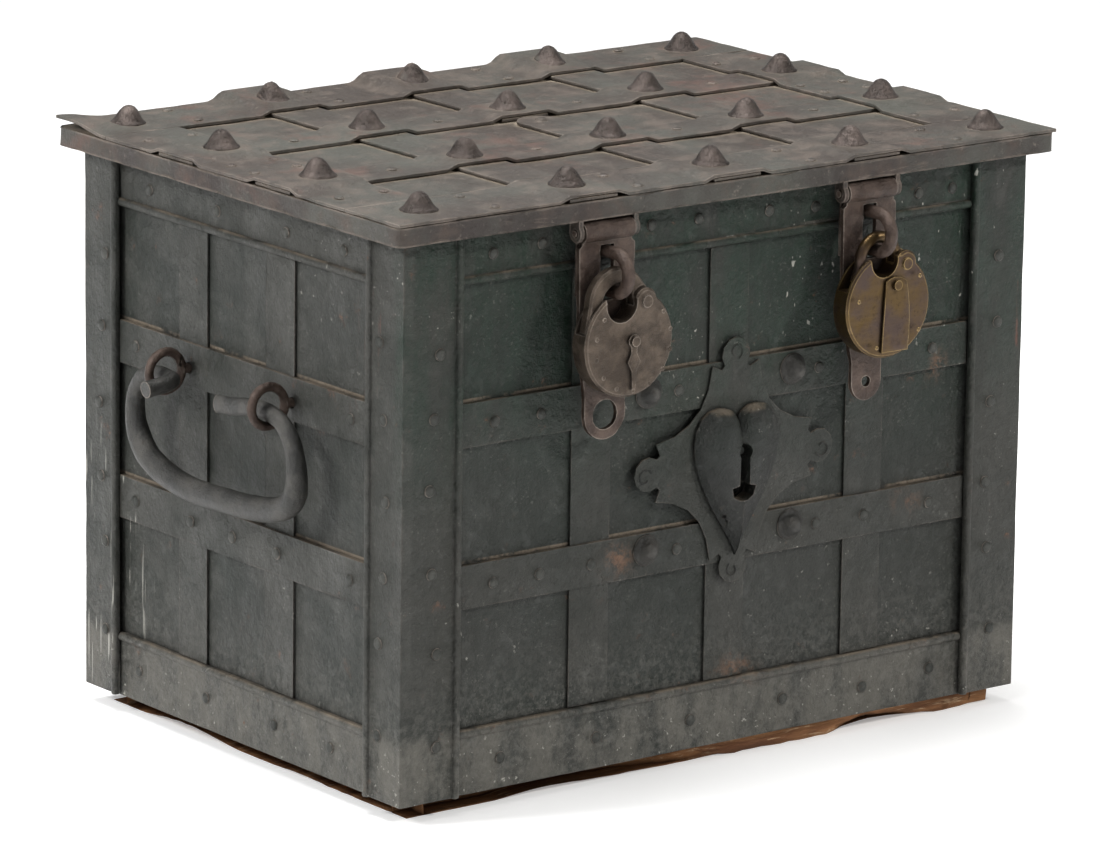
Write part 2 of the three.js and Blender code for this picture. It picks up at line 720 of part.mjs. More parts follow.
put(lid, "lid_cross_strap_right", crossStrap(CROSS_X[2], -crossEnd, crossEnd), paintedIron());
put(lid, "keyhole_cover", keyholeCover(), wornIron());
for (const [name, x] of [["left", HINGE_X[0]], ["right", HINGE_X[1]]]) {
  put(lid, `lid_hinge_${name}`, lidHinge(), wornIron(), (mesh) => {
    mesh.position.x = x;
  });
}

// ---- Lid lock ----
const LOCK_HALF = { x: 222, y: 143 };
const BOLTS = [
  { name: "front", turn: -Math.PI / 2, reach: 148 },
  { name: "right", turn: 0, reach: 227 },
  { name: "back", turn: Math.PI / 2, reach: 148 },
  { name: "left", turn: Math.PI, reach: 227 },
];

// Mounting plate under the lid on four pillars, with a guide bridge for each bolt.
function lockPlate() {
  const plate = withHole(
    rectangle(LOCK_HALF.x, LOCK_HALF.y),
    disc(HUB_ARBOR_R + 0.4),
  );
  const pieces = [slab("z", plate, LOCK_PLATE_LOW, LOCK_PLATE_LOW + LOCK_PLATE_T)];
  for (const sx of [-1, 1]) {
    for (const sy of [-1, 1]) {
      const x = sx * (LOCK_HALF.x - 8);
      const y = sy * (LOCK_HALF.y - 8);
      pieces.push(block(x - 6, x + 6, y - 6, y + 6, LOCK_PLATE_LOW + 1, RIM_HIGH - 3 - GAP));
    }
  }
  for (const { turn, reach } of BOLTS) {
    const bridge = cut(
      block(reach - 40, reach - 22, -BOLT_W / 2 - 6, BOLT_W / 2 + 6, BOLT_LOW - 3.5, LOCK_PLATE_LOW + 1),
      block(
        reach - 50, reach - 10, -BOLT_W / 2 - 0.5, BOLT_W / 2 + 0.5,
        BOLT_LOW - 0.4, LOCK_PLATE_LOW,
      ),
    );
    pieces.push(bridge.rotateZ(turn));
  }
  return join(...pieces);
}

// Spiral slot whose radius grows evenly with the hub's turn, so each bolt moves in step.
function scrollSlot(start) {
  const STEPS = 12;
  const HALF = BOLT_PIN_R + 0.45;
  const OVER = 0.08; // slot runs a little past both ends, radians
  const at = (i, side) => {
    const t = -OVER + (i * (Math.PI / 2 + 2 * OVER)) / STEPS;
    const r = BOLT_PIN_AT + (BOLT_THROW * t) / (Math.PI / 2) + side * HALF;
    return [r * Math.cos(start - t), r * Math.sin(start - t)];
  };
  const steps = [...Array(STEPS + 1).keys()];
  return outline([...steps.map((i) => at(i, 1)), ...steps.reverse().map((i) => at(i, -1))]);
}

function lockHub() {
  const face = disc(HUB_R);
  BOLTS.forEach(({ turn }) => face.holes.push(scrollSlot(turn)));
  const plate = slab("z", face, HUB_LOW, HUB_LOW + HUB_DISC_H, 0, 16);
  const arbor = rod("z", HUB_ARBOR_R, HUB_LOW, RIM_HIGH - 3 - 1, 0, 0, 20);
  const socket = rod("z", 4.5, HUB_LOW + 6, RIM_HIGH + 1, 0, 0, 12);
  const bitSlot = block(-2.5, 2.5, -HUB_ARBOR_R - 2, 0, HUB_LOW + 12, RIM_HIGH + 1);
  return cut(join(plate, arbor), socket, bitSlot);
}

function lockBolt(reach) {
  const arm = block(BOLT_INNER, reach, -BOLT_W / 2, BOLT_W / 2, BOLT_LOW, BOLT_HIGH);
  const pin = rod("z", BOLT_PIN_R, HUB_LOW + 0.5, BOLT_LOW + 1, BOLT_PIN_AT, 0, 12);
  return join(arm, pin);
}

put(lid, "lock_plate", lockPlate(), wornIron());
put(lid, "lock_hub", lockHub(), wornIron());
for (const { name, turn, reach } of BOLTS) {
  put(lid, `bolt_${name}`, lockBolt(reach), wornIron(), (mesh) => {
    mesh.rotation.z = turn;
  });
}

// ---- Hasps and staples ----
// Folded strap: a long front leaf with a slot for the staple, and a short leaf behind.
function hasp(tailHoleR) {
  const HALF = 23;
  const tailZ = tailHoleR > 6 ? 260 : 252;
  const tailR = tailHoleR > 6 ? 17 : 13;
  const shape = new THREE.Shape();
  shape.moveTo(-BARREL_HALF, HASP_AXIS.z + 3);
  shape.lineTo(-BARREL_HALF, HASP_AXIS.z - 8);
  shape.lineTo(-HALF, HASP_AXIS.z - 10);
  shape.lineTo(-HALF + 1, 310);
  shape.lineTo(-tailR, tailZ + 14);
  shape.absarc(0, tailZ, tailR, Math.PI, 2 * Math.PI);
  shape.lineTo(tailR, tailZ + 14);
  shape.lineTo(HALF - 1, 310);
  shape.lineTo(HALF, HASP_AXIS.z - 10);
  shape.lineTo(BARREL_HALF, HASP_AXIS.z - 8);
  shape.lineTo(BARREL_HALF, HASP_AXIS.z + 3);
  shape.closePath();
  shape.holes.push(disc(tailHoleR, 0, tailZ));
  const slotHalf = STAPLE_R + STAPLE_BAR_R + 1;
  shape.holes.push(rectangle(STAPLE_BAR_R + 1, slotHalf, 0, STAPLE_Z - 1));
  const trim = block(-30, 30, HASP_FRONT - 5, -180, HASP_AXIS.z - 2, HASP_AXIS.z + 30);
  const leaf = cut(slab("y", shape, HASP_FRONT, HASP_FRONT + HASP_T, 0, 8), trim);
  const barrel = rod("x", HASP_BARREL_R, -BARREL_HALF, BARREL_HALF, HASP_AXIS.y, HASP_AXIS.z, 16);
  const pin = rod("x", 2.5, -BARREL_HALF - 5, BARREL_HALF + 5, HASP_AXIS.y, HASP_AXIS.z, 12);
  const rearLeaf = block(-20, -8, -191.5, -189.5, 340, HASP_AXIS.z);
  return join(leaf, barrel, pin, rearLeaf);
}

function stapleLoop() {
  const points = [];
  const top = STAPLE_Z + STAPLE_R;
  const low = STAPLE_Z - STAPLE_R;
  for (const y of [STAPLE_CUT_Y, -193, -200]) points.push(new THREE.Vector3(0, y, top));
  for (let i = 0; i <= 8; i++) {
    const angle = Math.PI / 2 + (Math.PI * i) / 8;
    points.push(
      new THREE.Vector3(
        0,
        STAPLE_CENTRE_Y + STAPLE_R * Math.cos(angle),
        STAPLE_Z + STAPLE_R * Math.sin(angle),
      ),
    );
  }
  for (const y of [-200, -193, STAPLE_CUT_Y]) points.push(new THREE.Vector3(0, y, low));
  return bar(points, STAPLE_BAR_R, 28);
}

// ---- Padlocks ----
// Both hang with their opening around the staple. Positions are from the staple's x.
const IRON_LOCK = {
  opening: { z: 337.7, r: 12.6 }, body: { x: 6.5, z: 310.5 },
  pivot: { x: 20.5, z: 337 }, key: { x: 9, z: 312 },
};
const BRASS_LOCK = {
  opening: { z: 338.5, r: 11.3 }, body: { x: 4, z: 307.5 },
  pivot: { x: 19.5, z: 334.5 }, key: { x: 9, z: 321.5 }, notch: 12,
};
const LOCK_FRONT = PADLOCK_Y - PADLOCK_T / 2;
const LOCK_BACK = PADLOCK_Y + PADLOCK_T / 2;
const EYE_FLAT_T = 7; // thickness of the shackles where they sit in the body

// Round body with a throat around the staple, and open slots for the shackle's end and eye.
function padlockBody({ opening, body, pivot, key, notch = 0 }) {
  const mid = (half, shape) => slab("y", shape, PADLOCK_Y - half, PADLOCK_Y + half, 0, 10);
  const bodyDisc = slab("y", disc(PADLOCK_R, body.x, body.z), LOCK_FRONT, LOCK_BACK, 1.5, 24);
  const shoulder = slab("y", disc(9, pivot.x, pivot.z), LOCK_FRONT, LOCK_BACK, 1.5, 10);
  const throat = slab("y", disc(opening.r, 0, opening.z), LOCK_FRONT - 1, LOCK_BACK + 1, 0, 16);
  const mouth = block(
    -opening.r + 0.5, 60, LOCK_FRONT - 1, LOCK_BACK + 1, opening.z + 2.4, opening.z + 40,
  );
  const cleft = outline([
    [-opening.r - notch, opening.z + notch],
    [3, opening.z - opening.r],
    [opening.r, opening.z + notch],
  ]);
  const blank = cut(
    join(cut(bodyDisc, mouth, slab("y", cleft, LOCK_FRONT - 1, LOCK_BACK + 1)), shoulder), throat,
  );
  const eyeHalf = EYE_FLAT_T / 2 + GAP;
  const slotted = cut(
    blank,
    mid(eyeHalf, disc(8.6, pivot.x, pivot.z)),
    mid(eyeHalf, rectangle(16, 15, pivot.x + 7.4, pivot.z + 15)),
    mid(4.9, rectangle(24, 24, -opening.r + 1 - 24, opening.z + 5.4)),
  );
  return join(
    slotted,
    rod("y", 2.2, LOCK_FRONT - 3, LOCK_FRONT + 1, key.x, key.z, 10),
    rod("y", 3.6, LOCK_FRONT - 4.2, LOCK_FRONT - 2.4, key.x, key.z, 12),
    rod("y", 4.2, LOCK_FRONT - 1.2, LOCK_FRONT + 1, pivot.x, pivot.z, 12),
    rod("y", 2.6, LOCK_FRONT + 1, LOCK_BACK - 1, pivot.x, pivot.z, 12),
  );
}

// Flat arched shackle that follows the round body's outline.
function ironShackle({ opening, pivot }) {
  const OUTER = opening.r + 11;
  const shape = new THREE.Shape();
  shape.moveTo(-27, opening.z - 18);
  shape.lineTo(-18, opening.z - 18);
  shape.lineTo(-opening.r, opening.z);
  for (let i = 1; i <= 9; i++) {
    const angle = Math.PI - (i * Math.PI * 0.88) / 9;
    shape.lineTo(opening.r * Math.cos(angle), opening.z + opening.r * Math.sin(angle));
  }
  for (let i = 0; i <= 7; i++) {
    const angle = -2.5 + (i * 3.1) / 7;
    shape.lineTo(pivot.x + 7.8 * Math.cos(angle), pivot.z + 7.8 * Math.sin(angle));
  }
  for (let i = 3; i <= 12; i++) {
    const angle = (i * Math.PI) / 12;
    shape.lineTo(OUTER * Math.cos(angle), opening.z + OUTER * Math.sin(angle));
  }
  shape.closePath();
  const arch = slab("y", shape, PADLOCK_Y - 4.2, PADLOCK_Y + 4.2, 1.4, 8);
  const cheeks = [-1, 1].map((side) => {
    const y = [side * (EYE_FLAT_T / 2), side * 6].sort((a, b) => a - b);
    return slab("y", disc(10.5, pivot.x, pivot.z), PADLOCK_Y + y[0], PADLOCK_Y + y[1], 0, 12);
  });
  return cut(arch, ...cheeks, rod("y", 2.9, PADLOCK_Y - 6, PADLOCK_Y + 6, pivot.x, pivot.z, 12));
}

// Round-bar shackle with a flattened eye at its pivot.
function brassShackle({ opening, pivot }) {
  const BAR_R = 4.1;
  const R = opening.r + BAR_R;
  const points = [new THREE.Vector3(-R - 3.5, PADLOCK_Y, opening.z - 14)];
  for (let i = 0; i <= 9; i++) {
    const angle = Math.PI * 1.06 - (i * Math.PI * 0.96) / 9;
    points.push(
      new THREE.Vector3(R * Math.cos(angle), PADLOCK_Y, opening.z + R * Math.sin(angle)),
    );
  }
  points.push(new THREE.Vector3(pivot.x - 0.5, PADLOCK_Y, pivot.z + 1));
  const eye = slab("y", disc(7.6, pivot.x, pivot.z), PADLOCK_Y - 3.5, PADLOCK_Y + 3.5, 0, 10);
  const cheeks = [-1, 1].map((side) => {
    const y = [side * (EYE_FLAT_T / 2), side * 6].sort((a, b) => a - b);
    return slab("y", disc(10.5, pivot.x, pivot.z), PADLOCK_Y + y[0], PADLOCK_Y + y[1], 0, 12);
  });
  const hole = rod("y", 2.9, PADLOCK_Y - 6, PADLOCK_Y + 6, pivot.x, pivot.z, 12);
  return cut(join(bar(points, BAR_R, 26), eye), ...cheeks, hole);
}

function ironDrop({ key }) {
  const shape = new THREE.Shape();
  shape.absarc(key.x, key.z, 4.6, -0.3 * Math.PI, 1.3 * Math.PI);
  shape.lineTo(key.x - 2.4, key.z - 8);
  shape.lineTo(key.x - 5.4, key.z - 14);
  shape.lineTo(key.x - 2.2, key.z - 20);
  shape.lineTo(key.x - 1.2, key.z - 33);
  shape.lineTo(key.x + 1.2, key.z - 33);
  shape.lineTo(key.x + 2.2, key.z - 20);
  shape.lineTo(key.x + 5.4, key.z - 14);
  shape.lineTo(key.x + 2.4, key.z - 8);
  shape.closePath();
  shape.holes.push(disc(2.6, key.x, key.z));
  return slab("y", shape, LOCK_FRONT - 2, LOCK_FRONT - 0.5, 0, 6);
}

function brassDrop({ key }) {
  const shape = new THREE.Shape();
  shape.moveTo(key.x - 12, key.z - 46);
  shape.lineTo(key.x + 11, key.z - 46);
  shape.quadraticCurveTo(key.x + 14, key.z - 18, key.x + 9, key.z + 2);
  shape.quadraticCurveTo(key.x, key.z + 9, key.x - 9, key.z + 3);
  shape.closePath();
  shape.holes.push(disc(2.6, key.x, key.z));
  return slab("y", shape, LOCK_FRONT - 2.1, LOCK_FRONT - 0.5, 0, 5);
}

const FITTINGS = {
  left: { lock: IRON_LOCK, shackle: ironShackle, drop: ironDrop, tail: 10, metal: darkBronze },
  right: { lock: BRASS_LOCK, shackle: brassShackle, drop: brassDrop, tail: 3.5, metal: brass },
};
for (const [name, fitting] of Object.entries(FITTINGS)) {
  const group = new THREE.Group();
  group.position.x = HASP_X[name];
  lid.add(group);
  put(group, `hasp_${name}`, hasp(fitting.tail), wornIron());
  put(group, `staple_loop_${name}`, stapleLoop(), wornIron());
  put(group, `shackle_${name}`, fitting.shackle(fitting.lock), fitting.metal());
  put(group, `padlock_body_${name}`, padlockBody(fitting.lock), fitting.metal());
  put(group, `drop_cover_${name}`, fitting.drop(fitting.lock), fitting.metal());
}

export default model;
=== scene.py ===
"""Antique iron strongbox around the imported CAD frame.

Detailed pieces, procedural materials, floor, lights and camera, in metres.
"""

import json
import math

import bmesh
import bpy
from mathutils import Matrix, Vector, noise


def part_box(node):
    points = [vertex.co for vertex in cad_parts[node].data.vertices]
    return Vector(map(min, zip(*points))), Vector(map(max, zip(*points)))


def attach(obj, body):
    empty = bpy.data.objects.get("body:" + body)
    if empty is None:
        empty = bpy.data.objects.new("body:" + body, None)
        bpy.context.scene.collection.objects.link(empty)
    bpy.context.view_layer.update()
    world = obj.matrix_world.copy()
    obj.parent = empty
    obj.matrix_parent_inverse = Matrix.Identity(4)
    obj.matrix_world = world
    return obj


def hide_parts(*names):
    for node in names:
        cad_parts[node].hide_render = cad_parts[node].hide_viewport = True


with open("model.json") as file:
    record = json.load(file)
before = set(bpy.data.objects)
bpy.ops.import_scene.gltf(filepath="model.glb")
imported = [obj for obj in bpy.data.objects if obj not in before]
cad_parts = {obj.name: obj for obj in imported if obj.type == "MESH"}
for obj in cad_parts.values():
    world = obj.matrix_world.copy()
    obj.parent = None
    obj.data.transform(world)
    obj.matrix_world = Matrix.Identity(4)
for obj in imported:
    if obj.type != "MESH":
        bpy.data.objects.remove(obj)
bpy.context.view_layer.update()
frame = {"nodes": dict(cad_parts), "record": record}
NODES = frame["nodes"]
BODY_OF = {n: b for b, members in frame["record"]["behaviour"]["bodies"].items() for n in members}
SLOT_OF = {s["node"]: s["material_slot"] for s in frame["record"]["subparts"]}

# Half width and half depth of the chest over its corner straps.
HALF_W = 0.264
HALF_D = 0.185

# ---------------------------------------------------------------- materials


class Graph:
    """Small helper around one material's node tree."""

    def __init__(self, name):
        self.material = bpy.data.materials.new(name)
        self.material.use_nodes = True
        self.tree = self.material.node_tree
        self.tree.nodes.clear()
        self.output = self.tree.nodes.new("ShaderNodeOutputMaterial")
        self.shader = self.tree.nodes.new("ShaderNodeBsdfPrincipled")
        self.link(self.shader.outputs[0], self.output.inputs[0])
        coords = self.tree.nodes.new("ShaderNodeTexCoord")
        self.place = coords.outputs["Object"]
        self.normal = self.separate(coords.outputs["Normal"])
        self.xyz = self.separate(self.place)

    def link(self, source, socket):
        self.tree.links.new(source, socket)

    def put(self, socket, value):
        if isinstance(value, bpy.types.NodeSocket):
            self.link(value, socket)
        elif value is not None:
            socket.default_value = value

    def separate(self, vector):
        node = self.tree.nodes.new("ShaderNodeSeparateXYZ")
        self.link(vector, node.inputs[0])
        return node.outputs

    def noise(self, scale, detail=4.0, roughness=0.6, stretch=None, offset=(0, 0, 0)):
        place = self.tree.nodes.new("ShaderNodeMapping")
        self.link(self.place, place.inputs[0])
        place.inputs["Scale"].default_value = stretch or (1, 1, 1)
        place.inputs["Location"].default_value = offset
        node = self.tree.nodes.new("ShaderNodeTexNoise")
        self.link(place.outputs[0], node.inputs["Vector"])
        node.inputs["Scale"].default_value = scale
        node.inputs["Detail"].default_value = detail
        node.inputs["Roughness"].default_value = roughness
        return node.outputs[0]

    def math(self, operation, a, b=None, clamp=False):
        node = self.tree.nodes.new("ShaderNodeMath")
        node.operation = operation
        node.use_clamp = clamp
        self.put(node.inputs[0], a)
        self.put(node.inputs[1], b)
        return node.outputs[0]

    def times(self, *values):
        result = values[0]
        for value in values[1:]:
            result = self.math("MULTIPLY", result, value, clamp=True)
        return result

    def either(self, *values):
        result = values[0]
        for value in values[1:]:
            result = self.math("MAXIMUM", result, value)
        return result

    def step(self, value, low, high, to_low=0.0, to_high=1.0):
        node = self.tree.nodes.new("ShaderNodeMapRange")
        node.interpolation_type = "SMOOTHSTEP"
        self.put(node.inputs[0], value)
        for index, number in enumerate((low, high, to_low, to_high), 1):
            node.inputs[index].default_value = number
        return node.outputs[0]

    def near(self, value, middle, half, soft):
        """1 where value is within half of middle, fading out over soft."""
        away = self.math("ABSOLUTE", self.math("SUBTRACT", value, middle))
        return self.step(away, half, half + soft, 1.0, 0.0)

    def mix(self, factor, a, b):
        node = self.tree.nodes.new("ShaderNodeMix")
        node.data_type = "RGBA"
        self.put(node.inputs["Factor"], factor)
        for socket, value in ((node.inputs[6], a), (node.inputs[7], b)):
            self.put(socket, value if isinstance(value, bpy.types.NodeSocket) else (*value, 1.0))
        return node.outputs[2]

    def edges(self, radius, low=0.002, high=0.06):
        """1 on convex edges and creases of the mesh within about radius metres."""
        bevel = self.tree.nodes.new("ShaderNodeBevel")
        bevel.samples = 6
        bevel.inputs["Radius"].default_value = radius
        flat = self.tree.nodes.new("ShaderNodeNewGeometry")
        dot = self.tree.nodes.new("ShaderNodeVectorMath")
        dot.operation = "DOT_PRODUCT"
        self.link(bevel.outputs[0], dot.inputs[0])
        self.link(flat.outputs["Normal"], dot.inputs[1])
        return self.step(self.math("SUBTRACT", 1.0, dot.outputs["Value"]), low, high)

    # Ambient occlusion mask: 1 where shade falls in crevices and between parts. The paints darken with it as
    # painted shade, and the lid also lays dust there.
    def crevices(self, distance):
        node = self.tree.nodes.new("ShaderNodeAmbientOcclusion")
        node.samples = 6
        node.inputs["Distance"].default_value = distance
        return self.step(node.outputs["AO"], 0.35, 0.95, 1.0, 0.0)

    def finish(self, color, roughness, metallic=0.0, bump=(), specular=0.5):
        """bump is a list of (height, distance in metres) pairs, laid over one another."""
        self.put(self.shader.inputs["Base Color"], color)
        self.put(self.shader.inputs["Roughness"], roughness)
        self.put(self.shader.inputs["Metallic"], metallic)
        self.shader.inputs["Specular IOR Level"].default_value = specular
        below = None
        for height, distance in bump:
            node = self.tree.nodes.new("ShaderNodeBump")
            node.inputs["Strength"].default_value = 1.0
            node.inputs["Distance"].default_value = distance
            self.link(height, node.inputs["Height"])
            if below:
                self.link(below, node.inputs["Normal"])
            below = node.outputs[0]
        if below:
            self.link(below, self.shader.inputs["Normal"])
        return self.material


# Linear base colours of the chest's paint, its rust and its dust, and of its painted shade and painted light.
GREEN_SHADE = (0.0018, 0.0150, 0.0065)
GREEN = (0.0075, 0.0115, 0.0080)
GREY_GREEN = (0.0190, 0.0205, 0.0168)
PALE_GREY = (0.050, 0.050, 0.044)
FLECK = (0.120, 0.120, 0.105)
SOOT = (0.006, 0.008, 0.006)
CREVICE_SHADE = (0.006, 0.006, 0.005)
LOW_GREY = (0.105, 0.102, 0.090)
FOOT_GREY = (0.130, 0.122, 0.104)
RUST_DARK = (0.050, 0.026, 0.016)
RUST_BRIGHT = (0.150, 0.075, 0.040)
RUST_STREAK = (0.120, 0.050, 0.034)
DUST = (0.250, 0.200, 0.145)
CHIP = (0.380, 0.370, 0.330)
BARE_IRON = (0.110, 0.092, 0.078)
# Place across and up the front, and half width, of its largest rust patches, in metres.
RUST_PATCHES = (
    (-0.085, 0.154, 0.022), (0.165, 0.160, 0.018), (0.020, 0.060, 0.030), (0.190, 0.250, 0.012),
)
RUST_PATCH_H = 0.017
STRAP_TOPS = (0.169, 0.278)  # upper edges of the horizontal straps, where dust lies


def chest_paint(name, tone=GREEN, worn=GREY_GREEN, face_light_and_shade=True, ledges=(), rust=1.0):
    """Old green-grey paint: mottled, dusty, rusting through in spots and chipped at the edges, with painted
    shade in its crevices and on the upper front, and painted light on the left side.
    """
    g = Graph(name)
    x, y, z = g.xyz
    front = g.step(y, -0.170, -0.180)
    broad = g.noise(7, 5, 0.62)
    cloud = g.noise(26, 7, 0.68, offset=(3, 1, 7))
    grain = g.noise(420, 5, 0.7)
    speck = g.noise(190, 4, 0.78, offset=(9, 4, 2))
    smear = g.noise(34, 6, 0.7, stretch=(1, 1, 0.35), offset=(6, 6, 6))
    color = g.mix(g.step(broad, 0.36, 0.66), tone, worn)
    # Painted shade: the upper front is darkened to a deep green. Painted light: the left side is paled to
    # grey.
    if face_light_and_shade:
        high = g.step(z, 0.17, 0.33)
        front_shade = g.times(front, high, g.step(smear, 0.72, 0.34))
        color = g.mix(g.times(front_shade, 0.92), color, GREEN_SHADE)
        side = g.step(x, -0.2540, -0.2575)
        color = g.mix(g.times(side, g.step(cloud, 0.38, 0.68), 0.60), color, PALE_GREY)
    color = g.mix(g.step(speck, 0.50, 0.70, 0, 0.60), color, worn)
    fleck = g.noise(520, 3, 0.7, offset=(4, 7, 7))
    flecks = g.times(g.step(fleck, 0.60, 0.68), g.step(cloud, 0.40, 0.62), 0.55)
    color = g.mix(flecks, color, FLECK)
    dark = g.noise(300, 4, 0.7, offset=(2, 6, 1))
    color = g.mix(g.step(dark, 0.58, 0.70, 0, 0.55), color, SOOT)
    color = g.mix(g.step(smear, 0.62, 0.72, 0, 0.45), color, PALE_GREY)
    low = g.step(z, 0.13, 0.02)
    color = g.mix(g.times(low, g.step(speck, 0.40, 0.62), 0.6), color, LOW_GREY)
    foot = g.step(z, 0.062, 0.050)
    color = g.mix(g.times(foot, g.step(smear, 0.36, 0.60), 0.6), color, FOOT_GREY)
    edge = g.edges(0.0016)
    worn_edge = g.times(edge, g.step(cloud, 0.42, 0.60))
    color = g.mix(g.times(worn_edge, 0.55), color, BARE_IRON)
    spots = g.times(g.step(g.noise(44, 7, 0.74, offset=(1, 8, 3)), 0.615, 0.70), rust)
    color = g.mix(g.times(spots, 0.7), color, RUST_DARK)
    bright = g.times(spots, g.step(speck, 0.50, 0.62))
    color = g.mix(g.times(bright, 0.8), color, RUST_BRIGHT)
    for px, pz, size in RUST_PATCHES:
        patch = g.times(g.near(x, px, 0, size), g.near(z, pz, 0, RUST_PATCH_H), front)
        patch = g.times(patch, g.step(g.noise(150, 6, 0.8), 0.44, 0.60), g.step(cloud, 0.38, 0.52))
        color = g.mix(g.times(patch, 0.75), color, RUST_BRIGHT)
    chips = g.times(
        g.step(g.noise(260, 3, 0.65, offset=(5, 5, 1)), 0.66, 0.70),
        g.either(g.step(z, 0.085, 0.012), g.step(broad, 0.53, 0.70), worn_edge),
    )
    color = g.mix(g.times(chips, 0.8), color, CHIP)
    scratch = g.step(g.noise(330, 2, 0.5, stretch=(1, 1, 0.05), offset=(1, 1, 4)), 0.66, 0.69)
    back_side = g.times(g.step(y, 0.10, 0.14), g.step(z, 0.22, 0.15), g.step(x, -0.20, -0.25))
    nick = g.step(g.noise(260, 2, 0.5, stretch=(1, 1, 0.5), offset=(7, 1, 2)), 0.70, 0.74)
    upper = g.times(front, g.step(z, 0.24, 0.30), g.step(x, 0.02, 0.06))
    marks = g.either(g.times(scratch, back_side), g.times(nick, upper))
    color = g.mix(g.times(marks, 0.8), color, CHIP)
    ledge = None
    for height in ledges:
        line = g.near(z, height + 0.0008, 0.0006, 0.0012)
        ledge = line if ledge is None else g.either(ledge, line)
    if ledge is not None:
        broken = g.step(g.noise(30, 5, 0.7, offset=(2, 2, 9)), 0.36, 0.50)
        color = g.mix(g.times(ledge, broken, 0.9), color, DUST)
    streak = g.step(g.noise(60, 6, 0.75, stretch=(1, 1, 0.12), offset=(2, 9, 5)), 0.60, 0.68)
    outer = g.times(g.near(g.math("ABSOLUTE", x), HALF_W, 0.004, 0.02), g.step(y, -0.10, -0.18))
    color = g.mix(g.times(streak, outer, 0.8), color, RUST_STREAK)
    up = g.step(g.normal[2], 0.55, 0.95)
    color = g.mix(g.times(up, g.step(smear, 0.35, 0.6), 0.7), color, DUST)
    # Painted shade: darker in crevices and between parts, by ambient occlusion.
    occluded = g.crevices(0.010)
    color = g.mix(g.times(occluded, 0.7), color, CREVICE_SHADE)
    rough = g.step(smear, 0.3, 0.7, 0.32, 0.58)
    pits = g.step(g.noise(130, 6, 0.7), 0.35, 0.8)
    return g.finish(color, rough, 0.0, [(cloud, 0.0020), (pits, 0.0011), (grain, 0.00035)], 0.36)


LID_GREEN = (0.054, 0.054, 0.044)
LID_FLECK = (0.210, 0.180, 0.150)
LID_RED = (0.105, 0.050, 0.036)
LID_RUBBED = (0.200, 0.165, 0.138)
LID_SHADE = (0.020, 0.016, 0.012)
LID_DUST = (0.330, 0.270, 0.200)


def lid_paint(name, base=(0.036, 0.027, 0.021), pale=(0.098, 0.077, 0.062), dusty=1.0):
    """Brown, handled iron of the lid: rubbed pale at its edges, dust in the corners, painted shade in its
    crevices.
    """
    g = Graph(name)
    broad = g.noise(9, 5, 0.62, offset=(4, 4, 4))
    cloud = g.noise(38, 6, 0.68)
    speck = g.noise(230, 4, 0.75)
    grain = g.noise(520, 4, 0.7)
    color = g.mix(g.step(broad, 0.36, 0.66), base, LID_GREEN)
    color = g.mix(g.step(cloud, 0.46, 0.70, 0, 0.75), color, pale)
    color = g.mix(g.step(speck, 0.60, 0.70, 0, 0.5), color, LID_FLECK)
    red = g.step(g.noise(16, 6, 0.7, offset=(7, 2, 5)), 0.54, 0.70)
    color = g.mix(g.times(red, 0.55), color, LID_RED)
    edge = g.edges(0.0020)
    color = g.mix(g.times(edge, g.step(cloud, 0.36, 0.60), 0.75), color, LID_RUBBED)
    occluded = g.crevices(0.020)
    up = g.step(g.normal[2], 0.4, 0.9)
    dust = g.times(occluded, up, g.step(g.noise(20, 5, 0.7, offset=(8, 8, 1)), 0.24, 0.44), dusty)
    # Painted shade: darker in crevices, by ambient occlusion.
    color = g.mix(g.times(occluded, 0.35), color, LID_SHADE)
    color = g.mix(g.times(dust, 0.9), color, LID_DUST)
    rough = g.step(cloud, 0.3, 0.7, 0.42, 0.62)
    pits = g.step(g.noise(150, 6, 0.72), 0.3, 0.8)
    return g.finish(color, rough, 0.15, [(cloud, 0.0012), (pits, 0.0007), (grain, 0.0002)], 0.5)


IRON_RUBBED_AND_HIGHLIGHT = (0.320, 0.275, 0.235)
IRON_SHADE = (0.020, 0.014, 0.010)


def forged_iron(
    name, base=(0.034, 0.020, 0.014), pale=(0.095, 0.066, 0.052), metallic=0.45, rough=(0.34, 0.56),
):
    """Wrought iron with brown patina, pale edges of rubbed wear and painted highlight, and painted shade in
    its crevices.
    """
    g = Graph(name)
    cloud = g.noise(60, 6, 0.68)
    speck = g.noise(330, 4, 0.75)
    grain = g.noise(700, 4, 0.7)
    color = g.mix(g.step(cloud, 0.38, 0.68), base, pale)
    color = g.mix(g.step(speck, 0.62, 0.74, 0, 0.6), color, RUST_DARK)
    # Pale edges: rubbed wear, and a painted highlight along them.
    edge = g.edges(0.0012)
    color = g.mix(g.times(edge, g.step(cloud, 0.32, 0.56), 0.8), color, IRON_RUBBED_AND_HIGHLIGHT)
    # Painted shade: darker in crevices, by ambient occlusion.
    occluded = g.crevices(0.006)
    color = g.mix(g.times(occluded, 0.7), color, IRON_SHADE)
    pits = g.step(g.noise(210, 6, 0.72), 0.3, 0.8)
    return g.finish(
        color, g.step(cloud, 0.3, 0.7, *rough), metallic,
        [(cloud, 0.0008), (pits, 0.0006), (grain, 0.00016)], 0.5,
    )


BRASS_OLIVE = (0.085, 0.054, 0.022)
BRASS_LILAC = (0.062, 0.043, 0.036)
BRASS_STAIN = (0.034, 0.022, 0.015)
BRASS_RUBBED = (0.340, 0.240, 0.105)
BRASS_SHADE = (0.040, 0.028, 0.016)


